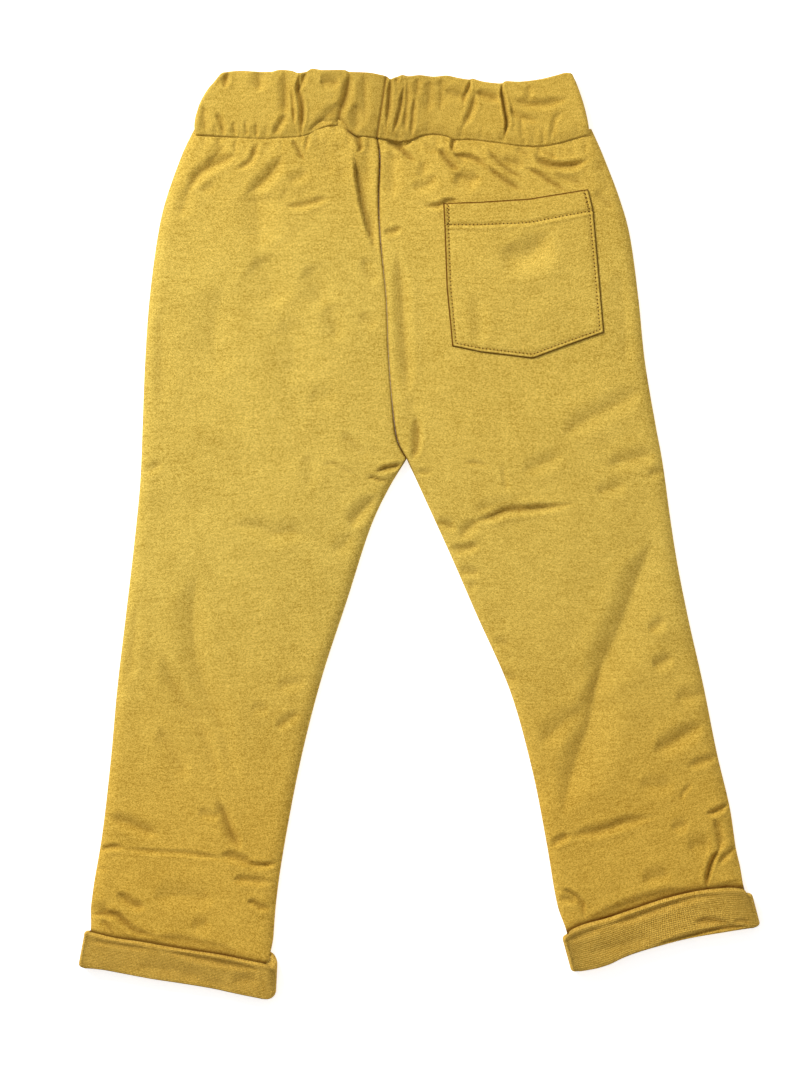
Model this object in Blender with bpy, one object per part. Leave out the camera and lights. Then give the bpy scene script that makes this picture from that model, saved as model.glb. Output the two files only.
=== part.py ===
"""Kids joggers laid flat with the back side up: eight sewn pieces of soft knitted cloth.

The garment lies on the plane z = 0 with its waist towards +Y and the ankles towards -Y.
Each leg is a back panel lying on a front panel; the waistband and the two turned-up hems
are closed flattened rings. Sizes in the tables are millimetres; meshes are in metres.
"""

import math
from collections import namedtuple

import bmesh
import bpy
from mathutils import Vector
from mathutils.bvhtree import BVHTree

MM = 0.001

# Cloth and seams
FRONT_WALL = 1.6
BACK_WALL = 1.8
POCKET_WALL = 1.5
BAND_WALL = 2.4
CUFF_WALL = 2.6
SEAM_GAP = 0.3
LAY_GAP = 0.3

# Heights of the laid garment above the table
LEG_HEIGHT = 7.0
SIDE_ROLL = 8.0
SIDE_SINK = 1.1
BAND_HEIGHT = 8.4
CUFF_HEIGHT = 10.5

# Where a leg enters its turned-up hem: how deep it runs in, how gradually it lifts and
# narrows for it, and how much room it leaves under the hem's upper wall
CUFF_TUCK = 19.0
TUCK_RAMP = 16.0
TUCK_INSET = 2.6
TUCK_ROOM = 0.8

# Edges: how far a front panel's lower edge draws in, over what length the centre seam turns
# into a rolled inseam, and the least space under a fold
FRONT_EDGE = 1.0
CROTCH_TURN = 16.0
LEAST_SPACE = 0.1

# Grid of a leg panel: the columns across it between its rolled sides
BACK_COLUMNS = 11
FRONT_COLUMNS = 6
ROLL_STEPS = 3

# Fields of a section across one leg, from the waist to the ankle: the outer silhouette, the
# inner edge, which is the centre seam above the crotch and the inseam below it, and how many
# rows of the panel lie between this section and the next.
Section = namedtuple("Section", "place outer_x outer_y inner_x inner_y rows")

LEFT_SECTIONS = [
    Section("waist seam", -135.5, 239, -25.5, 237.5, 2),
    Section("gathers", -144, 226, -24.0, 226, 4),
    Section("upper hip", -153, 201, -24.5, 201, 3),
    Section("hip", -158, 178, -23.5, 178, 4),
    Section("seat", -162, 141, -20.0, 141, 3),
    Section("lower seat", -165, 104, -18.5, 108, 3),
    Section("rise", -167, 66, -16.5, 76, 4),
    Section("crotch", -168, 28, -7.8, 45, 3),
    Section("below crotch", -170, 10, -17.0, 27, 3),
    Section("upper thigh", -173, -14, -27.0, 3, 3),
    Section("thigh", -178, -52, -42.0, -39, 3),
    Section("lower thigh", -183, -92, -58.5, -86, 3),
    Section("knee", -187, -134, -71.5, -135, 5),
    Section("calf", -192, -178, -80.8, -186, 5),
    Section("lower calf", -197, -210, -85.5, -222, 4),
    Section("hem line", -199.5, -237, -87.8, -256, 0),
]

RIGHT_SECTIONS = [
    Section("waist seam", 103.0, 239, -25.5, 237.5, 2),
    Section("gathers", 109, 226, -24.0, 226, 4),
    Section("upper hip", 120, 201, -24.5, 201, 3),
    Section("hip", 126, 178, -23.5, 178, 4),
    Section("seat", 131, 141, -20.0, 141, 3),
    Section("lower seat", 135, 104, -18.5, 108, 3),
    Section("rise", 141, 66, -16.5, 76, 4),
    Section("crotch", 147, 30, -7.8, 45, 3),
    Section("below crotch", 150, 10, 2.5, 22, 4),
    Section("upper thigh", 155, -18, 17.0, -14, 3),
    Section("thigh", 162, -52, 33.0, -48, 3),
    Section("lower thigh", 169, -90, 52.0, -93, 3),
    Section("knee", 177, -130, 67.0, -140, 5),
    Section("calf", 185, -163, 74.5, -184, 4),
    Section("lower calf", 191, -190, 80.0, -214, 4),
    Section("hem line", 195.5, -212, 86.0, -238, 0),
]

# Fields of a fold: a bent trough from its start through its middle to its end, the distance
# from its bottom to its shoulder, and how deep it sinks.
Fold = namedtuple("Fold", "start middle end width depth")

LEFT_FOLDS = [
    Fold((-112, 233), (-125, 224), (-140, 202), 6, 2.2),
    Fold((-83, 232), (-90, 218), (-104, 178), 7, 2.2),
    Fold((-69, 235), (-69, 226), (-66, 216), 6, 1.6),
    Fold((-41, 234), (-33, 196), (-25, 164), 8, 2.6),
    Fold((-82, 203), (-68, 198), (-53, 203), 7, 1.0),
    Fold((-45, 66), (-38, 54), (-22, 42), 8, 1.2),
    Fold((-58, 42), (-45, 40), (-33, 31), 7, 1.5),
    Fold((-47, 8), (-36, 16), (-26, 24), 7, 1.8),
    Fold((-116, 6), (-87, 3), (-62, -4), 9, 1.1),
    Fold((-167, 40), (-160, 42), (-152, 47), 7, 1.2),
    Fold((-138, -22), (-131, -87), (-106, -152), 12, 1.5),
    Fold((-155, -87), (-139, -114), (-125, -148), 9, 1.2),
    Fold((-131, -165), (-118, -169), (-106, -190), 7, 2.2),
    Fold((-190, -167), (-174, -171), (-153, -179), 7, 1.6),
    Fold((-191, -188), (-146, -187), (-86, -197), 7, 2.3),
    Fold((-183, -212), (-174, -217), (-163, -223), 6, 1.6),
    Fold((-103, -219), (-95, -220), (-88, -223), 6, 1.4),
]

RIGHT_FOLDS = [
    Fold((-14, 235), (-7, 230), (2, 224), 6, 1.8),
    Fold((19, 236), (32, 223), (63, 206), 7, 2.4),
    Fold((45, 233), (64, 219), (90, 206), 7, 2.2),
    Fold((68, 229), (84, 221), (101, 226), 7, 2.0),
    Fold((-15, 168), (-11, 145), (-10, 112), 8, 0.9),
    Fold((84, 60), (106, 79), (134, 90), 9, 1.2),
    Fold((60, 38), (72, 44), (86, 50), 9, 1.0),
    Fold((110, 41), (126, 47), (142, 50), 8, 1.2),
    Fold((22, -1), (55, 18), (98, 21), 9, 2.5),
    Fold((17, -8), (26, -7), (36, -3), 7, 1.4),
    Fold((138, 6), (111, -72), (84, -168), 14, 2.2),
    Fold((147, -127), (158, -119), (170, -107), 8, 1.6),
    Fold((158, -140), (168, -136), (178, -131), 7, 1.2),
    Fold((175, -167), (180, -164), (185, -160), 6, 1.4),
    Fold((178, -174), (179, -188), (170, -208), 6, 1.8),
    Fold((78, -186), (106, -177), (145, -165), 8, 2.0),
    Fold((81, -213), (95, -217), (99, -228), 6, 1.6),
    Fold((99, -229), (130, -219), (167, -210), 7, 1.8),
]

# Fields of a gather in the waistband: where it crosses the top edge and the seam, its
# half-width and its depth.
Gather = namedtuple("Gather", "top_x seam_x width depth")

BACK_GATHERS = [
    Gather(-121, -128, 4, 0.9),
    Gather(-111, -113, 4, 0.9),
    Gather(-99, -100, 4, 0.8),
    Gather(-87, -88, 4, 0.7),
    Gather(-74, -69, 5, 1.3),
    Gather(-58, -57, 4, 0.6),
    Gather(-45, -41, 6, 1.3),
    Gather(-27, -29, 4, 0.7),
    Gather(-8, -16, 6, 1.3),
    Gather(-2, -4, 4, 0.8),
    Gather(12, 8, 5, 0.8),
    Gather(30, 24, 5, 0.9),
    Gather(49, 51, 6, 1.4),
    Gather(66, 68, 5, 0.8),
    Gather(80, 86, 5, 0.8),
]
FRONT_GATHERS = 14
FRONT_GATHER_DEPTH = 0.5

# Waistband: its top edge from the left end to the right end as seen, and how far its sides
# swell beyond a straight line between the top edge and the seam
EdgePoint = namedtuple("EdgePoint", "x y")

BAND_TOP = [
    EdgePoint(-118, 276.6),
    EdgePoint(-91, 278.4),
    EdgePoint(-65, 278.4),
    EdgePoint(-39, 278),
    EdgePoint(-13, 276),
    EdgePoint(13, 274.5),
    EdgePoint(39, 272.3),
    EdgePoint(65, 271.5),
    EdgePoint(91, 275.5),
]
BAND_LEFT_SWELL = 6.0
BAND_RIGHT_SWELL = 1.5
SWELL_REACH = 0.16
BAND_STATIONS = 36

# Fields of a point of a ring's wall: how far down from the top edge to the bottom edge it
# lies, how far it stands out from the outer face, and whether a gather moves it.
WallPoint = namedtuple("WallPoint", "down out moves")

BAND_SECTION = [
    WallPoint(0.00, -1.2, 0.0),
    WallPoint(0.01, -0.4, 0.4),
    WallPoint(0.06, 0.0, 1.0),
    WallPoint(0.30, 0.2, 1.0),
    WallPoint(0.60, 0.2, 1.0),
    WallPoint(0.88, 0.0, 1.0),
    WallPoint(0.98, -0.5, 0.6),
    WallPoint(1.00, -1.1, 0.0),
    WallPoint(0.99, -2.2, 0.0),
    WallPoint(0.50, -2.4, 0.0),
    WallPoint(0.02, -2.2, 0.0),
]

# The wall of a turned-up hem: a soft roll at its top edge with a shallow groove under it
CUFF_SECTION = [
    WallPoint(0.00, -1.4, 0.0),
    WallPoint(0.02, -0.5, 0.0),
    WallPoint(0.08, 0.2, 0.0),
    WallPoint(0.17, 0.2, 0.0),
    WallPoint(0.28, -0.4, 0.0),
    WallPoint(0.50, -0.1, 0.0),
    WallPoint(0.85, -0.1, 0.0),
    WallPoint(0.98, -0.6, 0.0),
    WallPoint(1.00, -1.4, 0.0),
    WallPoint(0.98, -2.4, 0.0),
    WallPoint(0.50, -2.6, 0.0),
    WallPoint(0.03, -2.4, 0.0),
]

# Fields of a turned-up hem: the ends of the top and bottom edges of its outer face, and how
# far its under layer shows below the upper one at each end.
Cuff = namedtuple("Cuff", "top_left top_right bottom_left bottom_right shows_left shows_right")

LEFT_CUFF = Cuff((-203, -234.5), (-85.5, -253.5), (-205, -258.3), (-86, -277), 0, 0)
RIGHT_CUFF = Cuff((84.5, -237), (200, -209), (90.5, -260.5), (203.5, -231.8), 0.8, 2.5)
CUFF_STATIONS = 18
END_STEPS = 4

# Patch pocket on the right back panel
POCKET_TOP_LEFT = (14, 198)
POCKET_TOP_RIGHT = (100, 206)
POCKET_SIDE_RIGHT = (110, 121)
POCKET_POINT = (67, 105.5)
POCKET_SIDE_LEFT = (19.5, 112.5)
POCKET_POINT_SHARE = 0.52
POCKET_HEM = 13.0
POCKET_HEM_RISE = 0.6
POCKET_COLUMNS = 12
POCKET_ROWS = 12
POCKET_EASE = 3.0

# Colours and finish: mustard cotton knit, and its paler looped reverse on the hems
FACE_COLOUR = (0.604, 0.398, 0.067)
REVERSE_COLOUR = (0.640, 0.430, 0.085)
CLOTH_ROUGHNESS = 0.95


def clear_scene():
    for thing in list(bpy.data.objects):
        bpy.data.objects.remove(thing, do_unlink=True)


def cloth_material(name, colour):
    material = bpy.data.materials.new(name)
    material.use_nodes = True
    shader = material.node_tree.nodes["Principled BSDF"]
    shader.inputs["Base Color"].default_value = (*colour, 1)
    shader.inputs["Roughness"].default_value = CLOTH_ROUGHNESS
    shader.inputs["Metallic"].default_value = 0
    return material


def mix(a, b, share):
    return a + (b - a) * share


def mix_points(a, b, share):
    return tuple(mix(p, q, share) for p, q in zip(a, b))


def smooth_step(x):
    x = min(max(x, 0), 1)
    return x * x * (3 - 2 * x)


def along(rows, share, fields):
    """Read the fields of a table at a share of its length, on a smooth curve through it."""
    place = min(max(share, 0), 1) * (len(rows) - 1)
    i = min(int(place), len(rows) - 2)
    t = place - i
    around = [rows[min(max(i + k, 0), len(rows) - 1)] for k in (-1, 0, 1, 2)]
    found = []
    for field in fields:
        a, b, c, d = (getattr(row, field) for row in around)
        slope_b = (c - a) / 2
        slope_c = (d - b) / 2
        cubic = (2 * t**3 - 3 * t**2 + 1) * b + (t**3 - 2 * t**2 + t) * slope_b
        found.append(cubic + (3 * t**2 - 2 * t**3) * c + (t**3 - t**2) * slope_c)
    return found


# ---------------------------------------------------------------- folds


def fold_path(fold, steps=10):
    """Points along the bent line of a fold, which passes through its middle."""
    control = [2 * m - (s + e) / 2 for s, m, e in zip(fold.start, fold.middle, fold.end)]
    points = []
    for k in range(steps + 1):
        t = k / steps
        points.append(
            Vector(
                (1 - t) ** 2 * s + 2 * t * (1 - t) * c + t * t * e
                for s, c, e in zip(fold.start, control, fold.end)
            )
        )
    return points


def fold_sink(point, path, fold):
    """How far a fold sinks the cloth at a point: a trough with raised shoulders."""
    nearest = fold.width * 4
    place = 0
    for k, (a, b) in enumerate(zip(path, path[1:])):
        run = b - a
        t = min(max((point - a).dot(run) / run.length_squared, 0), 1)
        distance = (point - a - run * t).length
        if distance < nearest:
            nearest = distance
            place = (k + t) / (len(path) - 1)
    across = (nearest / fold.width) ** 2
    ends = math.sin(math.pi * min(max(place, 0.08), 0.92)) ** 0.6
    return fold.depth * ends * (1 - 0.7 * across) * math.exp(-0.9 * across)


def folds_field(folds):
    paths = [(fold, fold_path(fold)) for fold in folds]

    def sink(x, y):
        point = Vector((x, y))
        return sum(fold_sink(point, path, fold) for fold, path in paths)

    return sink


# ---------------------------------------------------------------- meshes


def new_object(name, points, faces, material):
    """A closed mesh from points in millimetres, with its faces turned outwards."""
    shape = bmesh.new()
    corners = [shape.verts.new(Vector(p) * MM) for p in points]
    for face in faces:
        shape.faces.new([corners[i] for i in face])
    bmesh.ops.recalc_face_normals(shape, faces=shape.faces)
    bmesh.ops.triangulate(shape, faces=shape.faces, quad_method="FIXED")
    mesh = bpy.data.meshes.new(name)
    shape.to_mesh(mesh)
    shape.free()
    mesh.materials.append(material)
    mesh.shade_smooth()
    mesh.set_sharp_from_angle(angle=math.radians(50))
    thing = bpy.data.objects.new(name, mesh)
    bpy.context.scene.collection.objects.link(thing)
    return thing


def sheet_solid(name, outer, inner, material):
    """Close two grids of points, one over the other, into a wall of cloth."""
    rows = len(outer)
    columns = len(outer[0])
    points = [p for grid in (outer, inner) for row in grid for p in row]

    def at(side, row, column):
        return (side * rows + row) * columns + column

    faces = []
    for i in range(rows - 1):
        for j in range(columns - 1):
            for side in (0, 1):
                faces.append(
                    [at(side, i, j), at(side, i, j + 1), at(side, i + 1, j + 1), at(side, i + 1, j)]
                )
    rim = [(0, j) for j in range(columns - 1)]
    rim += [(i, columns - 1) for i in range(rows - 1)]
    rim += [(rows - 1, j) for j in range(columns - 1, 0, -1)]
    rim += [(i, 0) for i in range(rows - 1, 0, -1)]
    for (i, j), (k, m) in zip(rim, rim[1:] + rim[:1]):
        faces.append([at(0, i, j), at(0, k, m), at(1, k, m), at(1, i, j)])
    return new_object(name, points, faces, material)


def ring_solid(name, loops, material):
    """Close a run of wall sections, each a loop of points, into a ring."""
    size = len(loops[0])
    points = [p for loop in loops for p in loop]
    faces = []
    for i in range(len(loops)):
        k = (i + 1) % len(loops)
        for j in range(size):
            m = (j + 1) % size
            faces.append([i * size + j, i * size + m, k * size + m, k * size + j])
    return new_object(name, points, faces, material)


# ---------------------------------------------------------------- leg panels


def row_shares(sections):
    """Where the rows of a panel lie on its table, as shares of the table's length."""
    steps = len(sections) - 1
    found = []
    for i, section in enumerate(sections[:-1]):
        found += [(i + k / section.rows) / steps for k in range(section.rows)]
    return found + [1]


def tuck_row(sections, run):
    """A row past the hem line, run millimetres down inside the turned-up hem."""
    last = sections[-1]
    before = sections[-2]
    outer = Vector((last.outer_x - before.outer_x, last.outer_y - before.outer_y)).normalized()
    inner = Vector((last.inner_x - before.inner_x, last.inner_y - before.inner_y)).normalized()
    return (
        last.outer_x + outer.x * run,
        last.outer_y + outer.y * run,
        last.inner_x + inner.x * run,
        last.inner_y + inner.y * run,
    )


def inner_edge(sections, share):
    """The inner edge of a leg: the centre seam, a corner at the crotch, then the inseam."""
    corner = [s.place for s in sections].index("crotch")
    place = share * (len(sections) - 1)
    if place <= corner:
        return along(sections[: corner + 1], place / corner, ("inner_x", "inner_y"))
    below = (place - corner) / (len(sections) - 1 - corner)
    return along(sections[corner:], below, ("inner_x", "inner_y"))


def leg_rows(sections):
    """Both ends of each row across a leg, and how far the row is past the hem line."""
    found = []
    for share in row_shares(sections):
        outer = along(sections, share, ("outer_x", "outer_y"))
        found.append((*outer, *inner_edge(sections, share), 0))
    for run in (CUFF_TUCK / 2, CUFF_TUCK):
        found.append((*tuck_row(sections, run), run))
    return found


def tuck_share(y, hem_y, past):
    """0 up the leg, 1 where the leg lies inside its hem."""
    if past > 0:
        return 1
    return smooth_step(1 - (y - hem_y) / TUCK_RAMP)


def crotch_share(sections, y):
    """0 where the inner edge is the centre seam, 1 where it is the rolled inseam."""
    crotch = next(s for s in sections if s.place == "crotch")
    return smooth_step((crotch.inner_y - y) / CROTCH_TURN)


def back_stops(width, rolled):
    """Places across a back panel: how far from its outer side, and how high it stands there.

    The height is 0 at the foot of a rolled side and 1 on the body of the panel.
    """
    steps = [math.pi / 2 * k / ROLL_STEPS for k in range(ROLL_STEPS)]
    rolls = [(SIDE_ROLL * (1 - math.cos(a)), math.sin(a)) for a in steps]
    spacing = (width - 2 * SIDE_ROLL) / (BACK_COLUMNS - 1)
    body = [(SIDE_ROLL + spacing * k, 1) for k in range(BACK_COLUMNS)]
    inner = [(width - run, mix(1, lift, rolled)) for run, lift in reversed(rolls)]
    return rolls + body + inner


def wall_pull(run, width, rolled):
    """How far the inner face draws in from a rolled side, so the wall keeps its thickness."""
    if run < SIDE_ROLL:
        return BACK_WALL * (1 - run / SIDE_ROLL)
    if width - run < SIDE_ROLL:
        return -BACK_WALL * (1 - (width - run) / SIDE_ROLL) * rolled
    return 0


def leg_place(sections, row, share):
    """A place across a row of a leg, and how far it is tucked into the hem."""
    outer_x, outer_y, inner_x, inner_y, past = row
    last = sections[-1]
    y = mix(outer_y, inner_y, share)
    tuck = tuck_share(y, mix(last.outer_y, last.inner_y, share), past)
    side = math.copysign(1, inner_x - outer_x)
    x = mix(outer_x, inner_x, share) + side * tuck * TUCK_INSET * (1 - 2 * share)
    return x, y, tuck


def back_panel(name, sections, folds, material):
    """A back panel: rolled down to the front panel at its sides, folded between them."""
    sink = folds_field(folds)
    side = math.copysign(1, sections[0].inner_x - sections[0].outer_x)
    tucked_top = CUFF_HEIGHT - CUFF_WALL - TUCK_ROOM
    outer = []
    inner = []
    for row in leg_rows(sections):
        width = abs(row[2] - row[0])
        rolled = crotch_share(sections, row[3])
        out_row = []
        in_row = []
        for run, lift in back_stops(width, rolled):
            share = run / width
            x, y, tuck = leg_place(sections, row, share)
            seat = FRONT_WALL + LAY_GAP + tuck * (CUFF_WALL + LAY_GAP)
            crown = LEG_HEIGHT - SIDE_SINK * (1 - math.sin(math.pi * share))
            from_side = min(run, width - run) / SIDE_ROLL
            fade = math.sin(math.pi / 2 * min(from_side, 1)) * (1 - tuck)
            top = mix(crown, tucked_top, tuck) - sink(x, y) * fade
            top = max(top, seat + LEAST_SPACE + BACK_WALL)
            out_row.append((x, y, mix(seat, top, lift)))
            pull = side * wall_pull(run, width, rolled)
            in_row.append((x + pull, y, mix(seat, top - BACK_WALL, lift)))
        outer.append(out_row)
        inner.append(in_row)
    open_seams(outer, inner, side)
    return sheet_solid(name, outer, inner, material)


def front_panel(name, sections, material):
    """A plain front panel: flat on the table, lifted only where it enters the hem."""
    side = math.copysign(1, sections[0].inner_x - sections[0].outer_x)
    upper = []
    lower = []
    for row in leg_rows(sections):
        rolled = crotch_share(sections, row[3])
        edges = {0: FRONT_EDGE, FRONT_COLUMNS - 1: -FRONT_EDGE * rolled}
        top_row = []
        low_row = []
        for column in range(FRONT_COLUMNS):
            x, y, tuck = leg_place(sections, row, column / (FRONT_COLUMNS - 1))
            low = tuck * (CUFF_WALL + LAY_GAP)
            top_row.append((x, y, low + FRONT_WALL))
            low_row.append((x + side * edges.get(column, 0), y, low))
        upper.append(top_row)
        lower.append(low_row)
    open_seams(upper, lower, side)
    return sheet_solid(name, upper, lower, material)


def open_seams(upper, lower, side):
    """Hold a panel half a seam gap clear of its neighbours at the waist and the middle."""
    for grid in (upper, lower):
        for row in grid:
            x, y, z = row[-1]
            row[-1] = (x - side * SEAM_GAP / 2, y, z)
        grid[0] = [(x, y - SEAM_GAP / 2, z) for x, y, z in grid[0]]


# ---------------------------------------------------------------- waistband and hems


def ring_loops(face_point, section, stations, height, outward, gather):
    """Wall sections all round a flattened ring: over the back, round an end, under the front.

    face_point gives the place on the outer face for a share across, a share down and 1 on the
    back or 0 on the front; outward is the direction out of the right-hand end.
    """
    radius = height / 2
    turns = []
    for k in range(stations):
        turns.append((k / (stations - 1), math.pi / 2, 1))
    for k in range(1, END_STEPS):
        turns.append((1, math.pi / 2 - math.pi * k / END_STEPS, 1 - k / END_STEPS))
    for k in range(stations):
        turns.append((1 - k / (stations - 1), -math.pi / 2, 0))
    for k in range(1, END_STEPS):
        turns.append((0, -math.pi / 2 - math.pi * k / END_STEPS, k / END_STEPS))
    loops = []
    for share, turn, back in turns:
        loop = []
        for point in section:
            x, y = face_point(share, point.down, back)
            out = point.out - gather(x, point.down, back) * point.moves
            if math.sin(turn) < 0:
                out = min(out, 0)
            span = (radius + out) * math.cos(turn)
            rise = radius + (radius + out) * math.sin(turn)
            loop.append((x + outward[0] * span, y + outward[1] * span, rise))
        loops.append(loop)
    return loops


def seam_height(x):
    """The waist seam: straight from each end to the middle of the back."""
    left, right = LEFT_SECTIONS[0], RIGHT_SECTIONS[0]
    end = left if x < left.inner_x else right
    share = (x - end.outer_x) / (end.inner_x - end.outer_x)
    return mix(end.outer_y, end.inner_y, share)


def band_point(share, down, back):
    """A place on the waistband's face, its ends drawn in by the ring's own radius."""
    radius = BAND_HEIGHT / 2
    draw_in = radius * (1 - 2 * share)
    top_x, top_y = along(BAND_TOP, share, ("x", "y"))
    seam_x = mix(LEFT_SECTIONS[0].outer_x, RIGHT_SECTIONS[0].outer_x, share)
    swell = 4 * down * (1 - down)
    left_end = max(1 - share / SWELL_REACH, 0) ** 2
    right_end = max(1 - (1 - share) / SWELL_REACH, 0) ** 2
    bulge = swell * (BAND_RIGHT_SWELL * right_end - BAND_LEFT_SWELL * left_end)
    x = mix(top_x, seam_x, down) + draw_in + bulge
    return x, mix(top_y, seam_height(x) + SEAM_GAP / 2, down)


def band_gather(x, down, back):
    """How far the elastic draws the waistband's face in at a place."""
    if back == 1:
        return sum(
            g.depth * math.exp(-(((x - mix(g.top_x, g.seam_x, down)) / g.width) ** 2))
            for g in BACK_GATHERS
        )
    if back == 0:
        across = (x - BAND_TOP[0].x) / (BAND_TOP[-1].x - BAND_TOP[0].x)
        return FRONT_GATHER_DEPTH * (0.5 - 0.5 * math.cos(2 * math.pi * FRONT_GATHERS * across))
    return 0


def waistband(material):
    loops = ring_loops(
        band_point, BAND_SECTION, BAND_STATIONS, BAND_HEIGHT, (1, 0), band_gather
    )
    return ring_solid("waistband", loops, material)


def cuff(name, shape, material):
    """A turned-up hem round the end of a leg; its under layer may show below."""
    along_top = Vector(shape.top_right) - Vector(shape.top_left)
    outward = along_top.normalized()
    down_leg = Vector((outward.y, -outward.x))

    def face_point(share, down, back):
        top = mix_points(shape.top_left, shape.top_right, share)
        bottom = mix_points(shape.bottom_left, shape.bottom_right, share)
        place = Vector(mix_points(top, bottom, down))
        place += down_leg * (mix(shape.shows_left, shape.shows_right, share) * (1 - back) * down)
        place += outward * (CUFF_HEIGHT / 2 * (1 - 2 * share))
        return place.x, place.y

    loops = ring_loops(
        face_point, CUFF_SECTION, CUFF_STATIONS, CUFF_HEIGHT, outward, lambda *place: 0
    )
    return ring_solid(name, loops, material)


# ---------------------------------------------------------------- pocket


def pocket_outline(across, down):
    """A place in the pocket: straight sides and top, and a pointed bottom."""
    top = mix_points(POCKET_TOP_LEFT, POCKET_TOP_RIGHT, across)
    if across < POCKET_POINT_SHARE:
        bottom = mix_points(POCKET_SIDE_LEFT, POCKET_POINT, across / POCKET_POINT_SHARE)
    else:
        share = (across - POCKET_POINT_SHARE) / (1 - POCKET_POINT_SHARE)
        bottom = mix_points(POCKET_POINT, POCKET_SIDE_RIGHT, share)
    return mix_points(top, bottom, down)


def pocket_rows():
    """Shares down the pocket, with a close pair of rows at the bottom of its hem."""
    hem = POCKET_HEM / (POCKET_TOP_LEFT[1] - POCKET_SIDE_LEFT[1])
    body = [mix(hem, 1, k / (POCKET_ROWS - 3)) for k in range(POCKET_ROWS - 2)]
    return [(0, 1), (hem / 2, 1), (hem * 0.96, 1)] + [(share, 0) for share in body]


def back_pocket(panel, material):
    """A patch made from the panel's own points, moved out by the gap between them."""
    surface = BVHTree.FromObject(panel, bpy.context.evaluated_depsgraph_get())
    high = Vector((0, 0, 1))
    down_ray = Vector((0, 0, -1))
    outer = []
    inner = []
    for down, hem in pocket_rows():
        out_row = []
        in_row = []
        for column in range(POCKET_COLUMNS):
            x, y = pocket_outline(column / (POCKET_COLUMNS - 1), down)
            found = []
            for dx in (-POCKET_EASE, 0, POCKET_EASE):
                for dy in (-POCKET_EASE, 0, POCKET_EASE):
                    start = Vector((x + dx, y + dy, 0)) * MM + high
                    found.append(surface.ray_cast(start, down_ray)[0].z / MM)
            under = max(found) + LAY_GAP
            in_row.append((x, y, under))
            out_row.append((x, y, under + POCKET_WALL + POCKET_HEM_RISE * hem))
        outer.append(out_row)
        inner.append(in_row)
    return sheet_solid("back_pocket", outer, inner, material)


# ---------------------------------------------------------------- the garment


def main():
    clear_scene()
    face = cloth_material("knit_face", FACE_COLOUR)
    reverse = cloth_material("knit_reverse", REVERSE_COLOUR)
    back_panel("back_left_leg", LEFT_SECTIONS, LEFT_FOLDS, face)
    right_back = back_panel("back_right_leg", RIGHT_SECTIONS, RIGHT_FOLDS, face)
    front_panel("front_left_leg", LEFT_SECTIONS, face)
    front_panel("front_right_leg", RIGHT_SECTIONS, face)
    waistband(face)
    back_pocket(right_back, face)
    cuff("left_cuff", LEFT_CUFF, reverse)
    cuff("right_cuff", RIGHT_CUFF, reverse)


main()
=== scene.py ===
# %% [markdown]
# # Kids joggers, laid flat
# The object is a pair of small children's joggers in mustard cotton, lying on their front
# with the back side up. Cloth that lies flat is easy to get wrong: left as flat shapes it
# looks like cut card. What makes it cloth is the rolled sides, the seams that draw in, the
# creases that wander and end softly, and the grain of the knit. The cells below add them.

# %% Load the frame
from collections import namedtuple

import bpy
import numpy as np
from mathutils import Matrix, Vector
from mathutils.bvhtree import BVHTree


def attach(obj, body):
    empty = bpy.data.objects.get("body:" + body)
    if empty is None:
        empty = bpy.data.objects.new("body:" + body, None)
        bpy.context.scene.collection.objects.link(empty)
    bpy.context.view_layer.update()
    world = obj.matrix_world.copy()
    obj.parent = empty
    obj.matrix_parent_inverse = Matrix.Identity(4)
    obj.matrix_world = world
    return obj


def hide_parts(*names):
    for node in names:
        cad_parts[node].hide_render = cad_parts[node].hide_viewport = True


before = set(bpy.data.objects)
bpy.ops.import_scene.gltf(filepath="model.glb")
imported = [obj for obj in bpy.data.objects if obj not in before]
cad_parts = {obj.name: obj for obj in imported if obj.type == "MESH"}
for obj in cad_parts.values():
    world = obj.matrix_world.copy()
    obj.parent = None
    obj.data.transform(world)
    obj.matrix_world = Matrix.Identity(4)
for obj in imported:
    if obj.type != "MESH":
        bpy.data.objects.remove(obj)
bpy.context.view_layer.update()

print("nodes:", sorted(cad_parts))

# %% [markdown]
# Every size below is in millimetres, as a pattern cutter would write it, and is turned into
# metres only when a mesh is made. The cloth is French terry: a smooth knitted face and a
# looped reverse. One wall of it is a little over a millimetre thick. The two back panels stay
# a hair's breadth apart along the centre seam, so that neither cuts through the other.

# %% Sizes of the cloth
MM = 0.001
CLOTH = 1.2
FRONT_TOP = 1.5
SEAT = 1.9
LEG_HEIGHT = 7.2
SIDE_ROLL = 8.0
SIDE_SINK = 1.1
SEAM_GAP = 0.06
print("one wall of cloth is", CLOTH, "mm thick")

# %% [markdown]
# The camera hangs straight above the middle of the picture. A long lens keeps the far and
# near parts of the garment at the same scale, as in a catalogue picture taken from a stand.
# The picture is 800 by 1067 pixels and each pixel is 0.6 mm, so its height is 640 mm.

# %% Camera
PICTURE_HEIGHT = 0.6402
PICTURE_MIDDLE = (-0.0120, 0.0009)
LENS = 100
SENSOR = 36

lens = bpy.data.cameras.new("camera")
lens.lens = LENS
lens.sensor_width = SENSOR
lens.clip_end = 20
camera = bpy.data.objects.new("camera", lens)
bpy.context.scene.collection.objects.link(camera)
camera.location = (*PICTURE_MIDDLE, PICTURE_HEIGHT * LENS / SENSOR)
bpy.context.scene.camera = camera
print("camera", round(camera.location.z, 2), "m above the table")

# %% [markdown]
# A pattern is drawn from a few measured places joined by smooth curves. The same is done
# here: a short table gives sections down a leg, and `through` reads a smooth curve through
# any table. Working on whole arrays of shares at once keeps it quick.

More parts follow.
